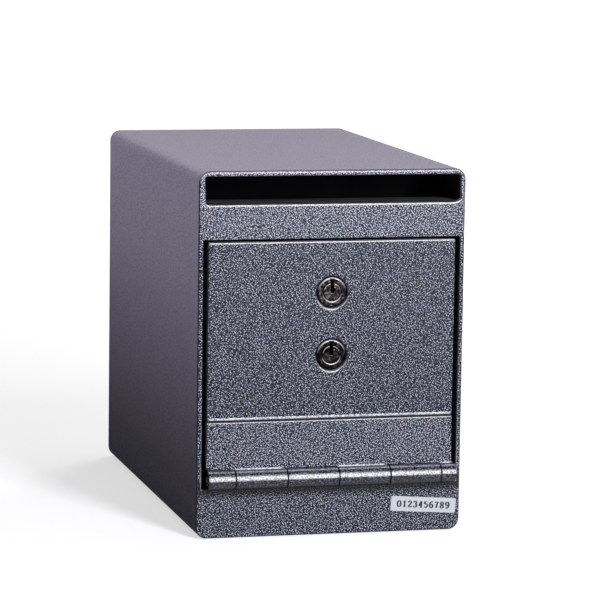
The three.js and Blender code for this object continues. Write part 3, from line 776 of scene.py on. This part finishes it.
# The chute's overspray, with a painted shadow just behind the front
CHUTE_PAINT = inner_paint("chute_overspray", linear(52, 54, 62), linear(82, 83, 92), shaded=True)
PLATE_PAINT = inner_paint("plate_overspray", linear(60, 62, 70), linear(88, 90, 99))
UPPER_FILM = (linear(7, 7, 9), linear(38, 36, 38), linear(100, 92, 90))
LOWER_FILM = (linear(4, 4, 6), linear(22, 21, 23), linear(66, 61, 60))
# Each lock's last tone is its painted highlight
LOCK_FINISHES = {
    "upper": lock_nickel("upper_nickel", UPPER_FILM, linear(214, 206, 204)),
    "lower": lock_nickel("lower_nickel", LOWER_FILM, linear(206, 200, 198)),
}
ZINC_TONES = (linear(168, 170, 172), linear(205, 207, 210))
STEEL_TONES = (linear(150, 152, 158), linear(196, 198, 204))
ZINC = plated("zinc_plate", ZINC_TONES, 500.0, (0.3, 0.42))
STEEL = plated("drawn_steel", STEEL_TONES, 900.0, (0.26, 0.38), stretch=(0.06, 1.0, 1.0))
PAPER = paper()
INK = ink()


# Cabinet

def shell_outline(inward, heights):
    """The cabinet's round-cornered outline, inset, with a point on both sides at each height."""
    half = HALF - inward
    bends = rectangle(-half, half, inward, HEIGHT - inward, BEND - inward, ROUND_STEPS)
    lower, upper = np.split(bends, 2)
    right = [(half, z) for z in heights]
    left = [(-half, z) for z in reversed(heights)]
    return np.concatenate([lower, right, upper, left])


def slot_outline(corner, build_up, top):
    """The deposit slot, clockwise, up to its top edge: under the ceiling's bends, with the weld's
    fillets below and its build-up along the left side, which grows downwards. A fillet is the
    parabola between two points that leaves and arrives along the lines to a third."""
    steps = np.linspace(0, 1, FILLET_STEPS + 1)[:, None]

    def bow(*ends):
        first, pull, last = (np.array(end) for end in ends)
        return (1 - steps) ** 2 * first + 2 * steps * (1 - steps) * pull + steps**2 * last

    upper_left = -INNER_HALF + build_up[0]
    lower_left = -INNER_HALF + build_up[1]
    left = bow(
        (lower_left, SILL + LEFT_FILLET[1]),
        (lower_left, SILL),
        (lower_left + LEFT_FILLET[0], SILL),
    )
    right = bow(
        (INNER_HALF - RIGHT_FILLET[0], SILL),
        (INNER_HALF - RIGHT_FILLET[0] / 4, SILL + RIGHT_FILLET[1] / 4),
        (INNER_HALF, SILL + RIGHT_FILLET[1]),
    )
    top_right = arc(INNER_HALF - corner, top - corner, corner, 0, 90, ROUND_STEPS)
    top_left = arc(upper_left + corner, top - corner, corner, 90, 180, ROUND_STEPS)
    return np.concatenate([left, right, top_right, top_left])[::-1]


def plain_slot():
    """The slot behind the sheet, where the weld hasn't built up."""
    return slot_outline(BEND - SHEET, (0.0, 0.0), CEILING)


def door_opening():
    """The door's opening, clockwise, from the lower leaf's edge to the fascia."""
    low, turn, head = AXIS_Z - NOTCH_RISE, FASCIA_BOTTOM - HEAD_RUN, FASCIA_BOTTOM
    right = [(INNER_HALF, z) for z in (low, turn, head)]
    left = [(-INNER_HALF, z) for z in (head, turn)]
    return np.array([(-INNER_HALF, low)] + right + left)[::-1]


def mouth_walls():
    """The slot's and the door opening's walls through the front sheet. Their edge is a quarter
    circle, which is larger along the slot's sill and lip, and along the opening's head."""
    lip = CEILING - TOP_BUILD_UP
    slot = slot_outline(SLOT_CORNER, LEFT_BUILD_UP, lip)
    slot_edge = np.interp(
        slot[:, 1],
        (SILL + SILL_FLAT, SILL + LEFT_FILLET[1], lip - SLOT_CORNER, lip - LIP_FLAT),
        (SILL_EDGE, MOUTH_EDGE, MOUTH_EDGE, LIP_EDGE),
    )
    door = door_opening()
    door_edge = np.where(door[:, 1] > FASCIA_BOTTOM - HEAD_RUN, HEAD_EDGE, MOUTH_EDGE)
    return [
        rolled(slot, slot_edge, FINE_STEPS) + [(plain_slot(), SHEET)],
        rolled(door, door_edge, FINE_STEPS) + [(door, SHEET)],
    ]


def anchored(z, front, back):
    """The floor's flat skin at one height, filled around the four anchor holes."""
    half = HALF - BEND
    corners = np.array([(-half, front), (half, front), (half, back), (-half, back)])
    return flat([corners, *anchor_holes()], z, UPRIGHT)


def anchor_holes():
    """The outlines of the four holes in the floor, clockwise."""
    across = HALF - ANCHOR_INSET
    along = (ANCHOR_SETBACK, DEPTH - ANCHOR_SETBACK)
    return [
        circle(side * across, y, ANCHOR_RADIUS, ANCHOR_STEPS)[::-1] for side in (-1, 1) for y in along
    ]


def cabinet_shell():
    """One painted skin: a round-cornered tube whose front face runs on, without a seam, over the
    fascia and the lower hinge leaf. The loops of the slot and the door opening are carried inwards
    around a rounded edge, and the tube's inner wall goes on from them to the back."""
    heights = sorted([AXIS_Z - NOTCH_RISE, FASCIA_BOTTOM, SILL + LEFT_FILLET[1], SILL + RIGHT_FILLET[1]])
    front_edge = rounding(RIM_EDGE, FINE_STEPS)
    rear_edge = rounding(REAR_EDGE)
    rings = front_edge + [(inward, DEPTH - deep) for inward, deep in reversed(rear_edge)]
    rings += [(SHEET - inward, DEPTH - deep) for inward, deep in rear_edge] + [(SHEET, SHEET)]
    points, skin = carried([(shell_outline(inward, heights), deep) for inward, deep in rings])
    count = len(points) // len(rings)
    outer, inner = len(front_edge) - 1, len(rings) - 2
    # The floor's two flat faces give way to ones with the anchor holes
    for row in (inner, outer):
        del skin[row * count + ROUND_STEPS]
    floors = [
        anchored(rings[outer][0], rings[outer][1], rings[outer + 1][1]),
        anchored(SHEET, SHEET, rings[inner][1]),
    ]
    bores = [carried([(hole, 0.0), (hole, SHEET)], UPRIGHT) for hole in anchor_holes()]

    walls = mouth_walls()
    face = flat([shell_outline(RIM_EDGE, heights)] + [wall[0][0] for wall in walls], 0.0)
    door = door_opening()[::-1]
    sill = plain_slot()[::-1][: 2 * (FILLET_STEPS + 1)]
    fascia_back = np.concatenate([door[[4, 3]], sill[::-1]])
    lower_bends = shell_outline(SHEET, heights)[: 2 * (ROUND_STEPS + 1)]
    leaf_back = np.concatenate([lower_bends, door[[1, 0]]])
    backs = [flat([loop], SHEET) for loop in (fascia_back, leaf_back)]
    return merged((points, skin), *floors, *bores, *map(carried, walls), face, *backs)


def back_panel():
    """The plate welded into the back, a little below the tube's rounded rear edge."""
    low, high = span("back_panel")
    outline = rectangle(low[0], high[0], low[2], high[2], BEND - SHEET, ROUND_STEPS)
    return slab(outline, low[1], high[1], PANEL_EDGES)


# Hinge

def knuckle_outline(upwards):
    """A knuckle seen from the side: a circle around the pin, which a small fillet joins to the
    front of its leaf, and whose back runs on into the leaf. It is drawn for the upper leaf, and
    turned over for the lower one."""
    reach = BARREL + KNUCKLE_FILLET
    rise = math.sqrt(reach**2 - (KNUCKLE_FILLET + AXIS_Y) ** 2)
    touch = math.degrees(math.atan2(rise, -KNUCKLE_FILLET - AXIS_Y))
    fillet = arc(-KNUCKLE_FILLET, rise, KNUCKLE_FILLET, 0, touch - 180, KNUCKLE_FILLET_STEPS)
    barrel = arc(AXIS_Y, 0.0, BARREL, touch, 360, BARREL_STEPS)
    tail = np.array([(PLATE, NOTCH_RISE), (PLATE, NOTCH_RISE), (PLATE, rise), (0.0, rise)]) + KNUCKLE_TAIL
    outline = np.concatenate([fillet, barrel[1:], tail])
    if not upwards:
        outline = (outline * (1, -1))[::-1]
    return outline + (0, AXIS_Z)


def knuckle_edges():
    """Where each knuckle starts and ends along the pin, from the left."""
    low, high = span("hinge_door_leaf")
    inner = low[0] + FIRST_KNUCKLE + KNUCKLE_PITCH * np.arange(KNUCKLES - 1)
    starts = np.concatenate([[low[0]], inner + KNUCKLE_GAP / 2])
    stops = np.concatenate([inner - KNUCKLE_GAP / 2, [high[0]]])
    return list(zip(starts, stops))


def knuckles(of_door):
    """Every second knuckle, as slabs across the safe with a bore for the pin."""
    outline = knuckle_outline(of_door)
    bore = circle(AXIS_Y, AXIS_Z, PIN_BORE, PIN_BORE_STEPS)[::-1]
    return merged(*[
        slab(outline, left, right, KNUCKLE_EDGES, [bore], KNUCKLE_BORE_EDGES, ACROSS)
        for left, right in knuckle_edges()[int(of_door)::2]
    ])


def door_leaf():
    """The door's hinge leaf, whose edge is a quarter circle, and a smaller one at its foot."""
    foot = AXIS_Z + NOTCH_RISE
    outline = rectangle(-DOOR_HALF, DOOR_HALF, foot, LEAF_TOP, LEAF_CORNER, CORNER_STEPS)
    edge = np.where(outline[:, 1] > foot + LEAF_FOOT, LEAF_EDGE, LEAF_FOOT_EDGE)
    return walled([rolled(outline, edge, LEAF_EDGE_STEPS) + [(outline, PLATE)]])


# Door

def door_plate():
    """The front plate with both lock holes."""
    outline = rectangle(-DOOR_HALF, DOOR_HALF, DOOR_BOTTOM, DOOR_TOP, DOOR_CORNER, CORNER_STEPS)
    holes = [circle(0.0, z, LOCK_HOLE, LOCK_STEPS)[::-1] for z in LOCK_HEIGHTS.values()]
    return slab(outline, 0.0, PLATE, DOOR_EDGES, holes, DOOR_HOLE_EDGES)


BEAD_KEEL = 0.3
WAVES = ((1.0, 1.7, 0.0), (0.7, 3.1, 1.0), (0.5, 6.3, 2.0))
RIDGE_FINENESS = 1.6
RIDGE_FEWEST = 24
RIDGE_END = 2.0
RIDGE_THINNEST = 0.15
RIDGE_HIGH_WAVER = 0.15
RIDGE_HALF_WAVER = 0.08
RIDGE_PLACE_WAVER = 0.08
RIDGE_STEPS = 8
RUN_OUT = 0.75
RUN_HALF = 0.55
RUN_HIGH = 0.22
RUN_POINTS = 40
RUN_THINNEST = 0.08
RUN_SWELL = 0.6
RUN_STEPS = 6
PLATE_BEAD = {"height": DOOR_BOTTOM + 1.3, "high": 0.38, "half": 0.75}
PLATE_BEAD_INSET = 0.6
KNUCKLE_BEAD = {"height": AXIS_Z + 5.2, "high": 0.3, "half": 0.7}
KNUCKLE_BEAD_INSET = 0.2
RUN_ANGLES = {"upper": (205, 292), "lower": (222, 300)}


def gathered(path, side, half, high, steps):
    """Enamel gathered along a path on a face: at each point, half an ellipse across the path, along
    its side direction, over a keel sunk into the sheet."""
    turn = np.linspace(0, math.pi, steps + 1)
    points = np.empty((len(path), steps + 2, 3))
    points[:, :-1, [0, 2]] = path[:, None] + (half[:, None] * np.cos(turn))[..., None] * side[:, None]
    points[:, :-1, 1] = -high[:, None] * np.sin(turn)
    points[:, -1] = placed(path, BEAD_KEEL)
    return capped(points)


def ridge(left, right, height, high, half):
    """A lumpy ridge of enamel between two places across the safe, whose size and height waver with
    three sines and whose size falls off towards both ends."""
    across = np.linspace(left, right, max(RIDGE_FEWEST, int((right - left) * RIDGE_FINENESS)))
    waver = sum(size * np.sin(across * rate + start) for size, rate, start in WAVES)
    taper = np.clip(np.minimum(across - left, right - across) / RIDGE_END, RIDGE_THINNEST, 1.0)
    path = np.stack([across, height + RIDGE_PLACE_WAVER * waver], 1)
    upright = np.broadcast_to((0.0, 1.0), path.shape)
    half = half * (1 + RIDGE_HALF_WAVER * waver) * taper
    high = high * (1 + RIDGE_HIGH_WAVER * waver) * taper
    return gathered(path, upright, half, high, RIDGE_STEPS)


def hole_run(z, start, stop):
    """Enamel gathered along an arc round a lock hole, between two angles, which falls off towards
    both ends with a power of a half sine."""
    angle = np.radians(np.linspace(start, stop, RUN_POINTS))
    swell = np.sin(np.linspace(0, math.pi, RUN_POINTS)) ** RUN_SWELL
    taper = swell * (1 - RUN_THINNEST) + RUN_THINNEST
    outwards = np.stack([np.cos(angle), np.sin(angle)], 1)
    path = (LOCK_HOLE + RUN_OUT) * outwards + (0.0, z)
    return gathered(path, outwards, RUN_HALF * taper, RUN_HIGH * taper, RUN_STEPS)


def door_beads():
    """The bead under the front plate, those over the door's knuckles, and the lock holes' runs."""
    plate_half = DOOR_HALF - PLATE_BEAD_INSET
    return merged(
        ridge(-plate_half, plate_half, **PLATE_BEAD),
        *[
            ridge(left + KNUCKLE_BEAD_INSET, right - KNUCKLE_BEAD_INSET, **KNUCKLE_BEAD)
            for left, right in knuckle_edges()[1::2]
        ],
        *[hole_run(z, *RUN_ANGLES[name]) for name, z in LOCK_HEIGHTS.items()],
    )


# Locks

def keyed_circle(z, radius, half, notch):
    """A circle that opens at its top into the notch of a keyway, anticlockwise."""
    open_angle = math.degrees(math.acos(half / radius))
    around = arc(0.0, 0.0, radius, 180 - open_angle, 360 + open_angle, KEYED_STEPS)
    return np.concatenate([around, notch]) + (0.0, z)


def flared(half):
    """The body's notch, which reaches up past the circle and grows wider there."""
    wide = KEYWAY_FLARE[0] / 2 + half - KEYWAY / 2
    low = KEYWAY_REACH - KEYWAY_FLARE[1]
    return [(half, low), (wide, KEYWAY_REACH), (-wide, KEYWAY_REACH), (-half, low)]


def sunk(half, below):
    """The plug's notch, which goes down from the circle's top past its centre."""
    return [(half, -below), (-half, -below)]


def lock_body(z):
    """A cam lock's body: a broken-edged face ring with the keyway's upper end cut through it, a
    flange, and a barrel."""
    half = KEYWAY / 2
    face = [
        (circle(0.0, z, LOCK_FACE - inward, LOCK_STEPS), LOCK_RECESS + deep)
        for inward, deep in rounding(RIM_ROUND, FINE_STEPS)
    ]
    face.append((circle(0.0, z, LOCK_FACE, LOCK_STEPS), LOCK_NECK))
    bore = []
    for inward, deep in rounding(BORE_ROUND, FINE_STEPS):
        wide = half + KEYWAY_BREAK * inward
        bore.append((keyed_circle(z, PLUG_BORE + inward, wide, flared(wide)), LOCK_RECESS + deep))
    bore.append((keyed_circle(z, PLUG_BORE, half, flared(half)), LOCK_NECK))
    bore = [(loop[::-1], depth) for loop, depth in bore]
    across, up = FLANGE[0] / 2, FLANGE[1] / 2
    plate = rectangle(-across, across, z - up, z + up, FLANGE_CORNER, ROUND_STEPS)
    barrel = circle(0.0, z, LOCK_BARREL, LOCK_STEPS)
    plain_bore = [circle(0.0, z, PLUG_BORE, PLUG_STEPS)[::-1]]
    barrel_span = (FLANGE_BACK - LOCK_OVERLAP, CAM_FRONT - LOCK_OVERLAP)
    return merged(
        walled([face, bore]),
        slab(plate, FLANGE_FRONT, FLANGE_BACK, FLANGE_EDGES, plain_bore, LOCK_BORE_EDGES),
        slab(barrel, *barrel_span, LOCK_BARREL_EDGES, plain_bore, LOCK_BORE_EDGES),
    )


def lock_plug(z):
    """The plug: a rounded face that stands a little proud of the body's ring, the keyway down its
    middle, a small pin beside it, and a plain tail that carries the cam."""
    front = []
    for inward, deep in rounding(PLUG_ROUND, FINE_STEPS) + [(0.0, PLUG_WAIST - PLUG_FACE)]:
        half = KEYWAY / 2 + inward * KEYWAY_SPREAD
        notch = sunk(half, KEYWAY_BELOW + inward * KEYWAY_SINK)
        front.append((keyed_circle(z, PLUG - inward, half, notch), PLUG_FACE + deep))
    tail = slab(circle(0.0, z, PLUG, PLUG_STEPS), PLUG_WAIST, CAM_FRONT, TAIL_EDGES)
    x, up = PIN_PLACE
    pin = carried([(circle(x, z + up, radius, PIN_STEPS), PLUG_FACE + deep) for radius, deep in PIN_PROFILE])
    return merged(walled([front]), tail, pin)


# Screws

def cross_outline(x, z, reach, half):
    """A cross, clockwise: the three corners of one arm, turned by a quarter circle at a time."""
    arms = [np.array([(half, half), (reach, half), (reach, -half)])]
    for _ in range(3):
        arms.append(arms[-1][:, ::-1] * (1, -1))
    return np.concatenate(arms) + (x, z)


def screw(node, head, shank):
    """A domed screw that looks to the back, with a cross cut into its head."""
    low, high = span(node)
    x, _, z = middle(node)
    radius, height = head
    seat = high[1] - height
    crown = [(SCREW_EDGE, seat), (0.0, seat + SCREW_EDGE)]
    crown += [(inward, seat + height * share) for inward, share in SCREW_CROWN]
    outline = circle(x, z, radius, HEAD_STEPS)
    dome = [(inset(outline, inward), depth) for inward, depth in crown]
    cross = cross_outline(x, z, radius * CROSS_REACH, CROSS_HALF)
    wide, low_floor, high_floor = CROSS_FLOOR
    disc = circle(x, z, radius * wide, SHANK_STEPS)
    stem = circle(x, z, shank, SHANK_STEPS)
    return merged(
        walled([dome, [(cross, seat), (cross, high[1])]]),
        slab(disc, seat + low_floor, seat + height * high_floor, CROSS_FLOOR_EDGES),
        slab(stem, low[1], seat + SHANK_OVERLAP, SHANK_EDGES),
    )


def fixing(name, node, body="door", head=SCREW_HEAD, shank=SCREW_SHANK):
    """A screw in place of its plain node."""
    piece(name, screw(node, head, shank), ZINC, body, "zinc_steel", node)


# Label
LABEL_SIZE = (38.1, 8.5)
LABEL_CORNER = 1.2
LABEL_THICKNESS = 0.17
LABEL_EDGES = (0.06, 0.02)
LABEL_TILT = math.radians(4)
LABEL_SHIFT = (0.3, 0.0, 0.75)
LABEL_FACE = span("serial_label")[0][1]
LABEL_MIDDLE = middle("serial_label") + LABEL_SHIFT
DIGIT_HEIGHT = 3.5
DIGIT_PITCH = 3.15
DIGIT_INDENT = 0.5
DIGIT_STEM = 1.0
DIGIT_HAIR = 0.42
DIGIT_SWELL = 1.5
DIGIT_RISE = 0.03
DIGIT_SINK = 0.02
CURVE_STEPS = 6


def on_label(points):
    """Points of the label's own plane turned by its tilt and put at its middle."""
    cos, sin = math.cos(LABEL_TILT), math.sin(LABEL_TILT)
    turn = np.array([(cos, -sin), (sin, cos)])
    return points @ turn + LABEL_MIDDLE[[0, 2]]


def label():
    """A thin round-cornered slip of paper."""
    half, up = LABEL_SIZE[0] / 2, LABEL_SIZE[1] / 2
    outline = rectangle(-half, half, -up, up, LABEL_CORNER, ROUND_STEPS)
    return slab(on_label(outline), LABEL_FACE, LABEL_FACE + LABEL_THICKNESS, LABEL_EDGES)


# Each digit's strokes, as points from its lower left corner in shares of its height
DIGIT_STROKE_SHARES = {
    "0": [[(0.3, 1.0), (0.1, 0.85), (0.04, 0.5), (0.1, 0.15), (0.3, 0.0), (0.5, 0.15), (0.56, 0.5),
           (0.5, 0.85), (0.3, 1.0)]],
    "1": [[(0.12, 0.82), (0.22, 0.88), (0.32, 1.0)], [(0.32, 1.0), (0.32, 0.0)],
          [(0.12, 0.02), (0.52, 0.02)]],
    "2": [[(0.08, 0.74), (0.14, 0.93), (0.32, 1.0), (0.5, 0.86), (0.46, 0.6), (0.24, 0.3), (0.06, 0.04)],
          [(0.06, 0.04), (0.54, 0.04)], [(0.54, 0.04), (0.56, 0.2)]],
    "3": [[(0.08, 0.82), (0.18, 0.97), (0.36, 0.98), (0.48, 0.8), (0.4, 0.6), (0.24, 0.54)],
          [(0.24, 0.54), (0.44, 0.48), (0.54, 0.28), (0.44, 0.06), (0.24, 0.0), (0.08, 0.1), (0.08, 0.2)]],
    "4": [[(0.42, 1.0), (0.42, 0.0)], [(0.42, 0.98), (0.22, 0.62), (0.04, 0.28)],
          [(0.04, 0.28), (0.6, 0.28)], [(0.26, 0.02), (0.56, 0.02)]],
    "5": [[(0.12, 0.98), (0.5, 0.98)], [(0.12, 0.98), (0.1, 0.54)],
          [(0.1, 0.54), (0.28, 0.62), (0.46, 0.54), (0.54, 0.3), (0.42, 0.06), (0.22, 0.0), (0.06, 0.12)]],
    "6": [[(0.5, 0.88), (0.38, 1.0), (0.18, 0.9), (0.06, 0.6), (0.06, 0.28), (0.18, 0.04), (0.34, 0.0),
           (0.5, 0.12), (0.54, 0.32), (0.44, 0.54), (0.28, 0.58), (0.1, 0.44)]],
    "7": [[(0.06, 0.82), (0.06, 0.97)], [(0.06, 0.97), (0.56, 0.97)],
          [(0.56, 0.97), (0.36, 0.6), (0.26, 0.0)]],
    "8": [[(0.3, 1.0), (0.12, 0.9), (0.12, 0.68), (0.3, 0.53), (0.5, 0.36), (0.52, 0.12), (0.3, 0.0),
           (0.08, 0.12), (0.1, 0.36), (0.3, 0.53), (0.48, 0.68), (0.48, 0.9), (0.3, 1.0)]],
    "9": [[(0.1, 0.12), (0.22, 0.0), (0.42, 0.1), (0.54, 0.4), (0.54, 0.72), (0.42, 0.96), (0.26, 1.0),
           (0.1, 0.88), (0.06, 0.68), (0.16, 0.46), (0.32, 0.42), (0.5, 0.56)]],
}


def through(points):
    """A smooth curve through points: each stretch is the cubic that leaves and arrives along the
    chords between its points' neighbours."""
    if len(points) == 2:
        return points
    ends = np.concatenate([[2 * points[0] - points[1]], points, [2 * points[-1] - points[-2]]])
    t = np.linspace(0, 1, CURVE_STEPS, endpoint=False)[None, :, None]
    before, first, last, after = (ends[k: len(ends) - 3 + k, None] for k in range(4))
    curve = 0.5 * (
        2 * first
        + (last - before) * t
        + (2 * before - 5 * first + 4 * last - after) * t**2
        + (3 * first - before - 3 * last + after) * t**3
    )
    return np.concatenate([curve.reshape(-1, 2), points[-1:]])


def stroke(points):
    """A flat ribbon along a curve, with a rectangular section: wide where it runs upright, and a
    hairline where it runs level."""
    left = left_of(np.gradient(points, axis=0))
    upright = np.abs(left[:, :1])
    side = left * (DIGIT_HAIR + (DIGIT_STEM - DIGIT_HAIR) * upright**DIGIT_SWELL) / 2
    one, other = on_label(points + side), on_label(points - side)
    front, back = LABEL_FACE - DIGIT_RISE, LABEL_FACE + DIGIT_SINK
    section = ((one, front), (other, front), (other, back), (one, back))
    return capped(np.stack([placed(line, depth) for line, depth in section], 1))


def digits(text):
    """Plain digits in a row on the label."""
    made = []
    left = -DIGIT_PITCH * len(text) / 2 + DIGIT_INDENT
    for place, digit in enumerate(text):
        corner = (left + place * DIGIT_PITCH, -DIGIT_HEIGHT / 2)
        for points in DIGIT_STROKE_SHARES[digit]:
            made.append(stroke(through(np.array(points)) * DIGIT_HEIGHT + corner))
    return merged(*made)


# The pieces
PAINT = "hammertone_paint"
piece("cabinet_shell", cabinet_shell(), ENAMEL, "cabinet", PAINT, "body_shell", "upper_fascia")
piece("welded_back", back_panel(), ENAMEL, "cabinet", PAINT, "back_panel")
piece("frame_knuckles", knuckles(of_door=False), POURED, "cabinet", PAINT, "hinge_frame_leaf")
piece("door_knuckles", knuckles(of_door=True), POURED, "door", PAINT, "hinge_door_leaf")
# The beads and runs carry a painted highlight in their light tones
piece("door_beads", door_beads(), RUN, "door", PAINT, "door_plate", "hinge_door_leaf")
piece("door_leaf", door_leaf(), LEAF_ENAMEL, "door", PAINT, "hinge_door_leaf")
piece("door_front", door_plate(), DOOR_ENAMEL, "door", PAINT, "door_plate")
piece("number_label", label(), PAPER, "cabinet", "label_paper", "serial_label")
piece("label_digits", digits("0123456789"), INK, "cabinet", "label_paper", "serial_label")

for name, z in LOCK_HEIGHTS.items():
    works = name + "_key_works"
    nickel = LOCK_FINISHES[name]
    piece(name + "_cylinder_body", lock_body(z), nickel, "door", "lock_nickel", name + "_lock_body")
    piece(name + "_key_plug", lock_plug(z), nickel, works, "lock_nickel", name + "_lock_plug")
    fixing(name + "_cam_fixing", name + "_cam_screw", works, CAM_SCREW_HEAD, CAM_SCREW_SHANK)
    dressed(name + "_lock_cam", ZINC)
    dressed(name + "_bolt", STEEL, edge=0.35)
    for side in ("left", "right"):
        fixing(f"{name}_lock_fixing_{side}", f"{name}_lock_screw_{side}")
for side in ("left", "right"):
    for place in ("upper", "lower"):
        fixing(f"{side}_rail_fixing_{place}", f"{side}_rail_screw_{place}")

for name in ("strike_channel", "anti_fish_baffle", "door_stop_left", "door_stop_right"):
    dressed(name, OVERSPRAY_AND_SHADE)
dressed("deposit_chute", CHUTE_PAINT)
dressed("door_backing_plate", PLATE_PAINT, edge=0.4)
dressed("hinge_pin", STEEL)
for name in ("bolt_rail_left", "bolt_rail_middle", "bolt_rail_right"):
    dressed(name, ZINC, edge=0.2)


# Camera, turned from looking along +Y: yaw, then pitch, then roll
CAMERA_PLACE = Vector((-0.46843, -1.86987, 0.38664))
YAW = math.radians(-14.441)
PITCH = math.radians(-8.006)
ROLL = math.radians(-0.821)
FOCAL_PIXELS = 3292.8
FRAME_PIXELS = 600
SENSOR = 36.0
CLIP_END = 100.0


def camera():
    """The view of the photograph."""
    turn = Matrix.Rotation(YAW, 3, "Z") @ Matrix.Rotation(PITCH, 3, "X") @ Matrix.Rotation(ROLL, 3, "Y")
    lens = bpy.data.cameras.new("view")
    lens.sensor_width = SENSOR
    lens.lens = FOCAL_PIXELS / FRAME_PIXELS * SENSOR
    lens.clip_end = CLIP_END
    obj = put("view", lens)
    forward_is_down = Matrix.Rotation(math.pi / 2, 3, "X")
    obj.matrix_world = Matrix.Translation(CAMERA_PLACE) @ (turn @ forward_is_down).to_4x4()
    bpy.context.scene.camera = obj


def lamp(name, place, target, size, power, colour=(1.0, 1.0, 1.0), spread=180.0):
    """A soft box that looks from one place at another."""
    light = bpy.data.lights.new(name, "AREA")
    light.shape = "RECTANGLE"
    light.size, light.size_y = size
    light.energy = power
    light.color = colour
    light.spread = math.radians(spread)
    obj = put(name, light)
    aim = Vector(target) - Vector(place)
    obj.matrix_world = Matrix.Translation(place) @ aim.to_track_quat("-Z", "Y").to_matrix().to_4x4()
    obj.visible_camera = False


ROOM_TONE = (0.045, 0.045, 0.055, 1.0)


def studio():
    """A tall soft box at the front right, a small one low over the upper left, and dim ones overhead
    and at the back right, in a dim room."""
    lamp("key_box", (0.357, -1.42, 0.85), (0.0, 0.0, 0.12), (0.27, 1.35), power=23.0,
         colour=(0.97, 0.98, 1.0))
    lamp("top_box", (0.1, 0.25, 1.4), (0.0, 0.1, 0.25), (0.9, 0.9), power=3.0)
    lamp("left_strip", (-0.70, 0.0, 0.42), (-0.076, 0.0, 0.263), (0.9, 0.12), power=0.49,
         colour=(1.0, 0.955, 1.0), spread=42.0)
    lamp("back_box", (0.9, 1.2, 0.7), (0.0, 0.0, 0.1), (0.7, 0.7), power=9.0)
    world = bpy.data.worlds.new("room")
    bpy.context.scene.world = world
    world.use_nodes = True
    tree = world.node_tree
    tree.nodes.clear()
    dim = shader_node("Background", {"Color": ROOM_TONE, "Strength": 1.0}, tree).outputs[0]
    shader_node("OutputWorld", {"Surface": dim})


FLOOR_PROFILE = ((0.0, 0.0), (1.0, 0.0), (3.0, 0.0), (6.5, 0.0), (8.0, 0.2), (8.8, 0.6), (9.2, 1.2))
FLOOR_DROP = 0.0002
FLOOR_STEPS = 64
FLOOR_LIT = (0.05, 0.05, 0.055, 1.0)
FLOOR_SEEN = (0.7, 0.7, 0.7, 1.0)
FLOOR_GLOW = (0.5, 2.0, 0.62, 1.0)


def floor():
    """A pale floor that rises far off in a low rim, in metres. It is white as it is seen, with the
    safe's shadow, and dim in the light it gives."""
    rings = [(circle(0.0, 0.0, radius, FLOOR_STEPS), rise - FLOOR_DROP) for radius, rise in FLOOR_PROFILE]
    mesh = joined_mesh("floor", *carried(rings, UPRIGHT))
    finish, place, _ = new_finish("floor_paper")
    tree = finish.node_tree
    far = shader_node("VectorMath", {0: place}, operation="LENGTH").outputs["Value"]
    strength = between(far, *FLOOR_GLOW)
    dim = shader_node("BsdfDiffuse", {"Color": FLOOR_LIT}, tree).outputs[0]
    glow = shader_node("Emission", {"Color": WHITE, "Strength": strength}).outputs[0]
    sheet = shader_node("BsdfDiffuse", {"Color": FLOOR_SEEN}, tree).outputs[0]
    seen = shader_node("AddShader", {0: glow, 1: sheet}).outputs[0]
    mix = shader_node("MixShader", {0: seen_directly(tree), 1: dim, 2: seen}).outputs[0]
    shader_node("OutputMaterial", {"Surface": mix})
    mesh.materials.append(finish)
    obj = put("floor", mesh)


def seen_directly(tree):
    """1 for what the camera, a reflection or a refraction sees, and 0 for what only lights."""
    path = shader_node("LightPath", {}, tree).outputs
    either = maths("MAXIMUM", path["Is Camera Ray"], path["Is Glossy Ray"])
    return maths("MAXIMUM", either, path["Is Transmission Ray"])


camera()
studio()
floor()
bpy.context.scene.view_settings.view_transform = "Standard"
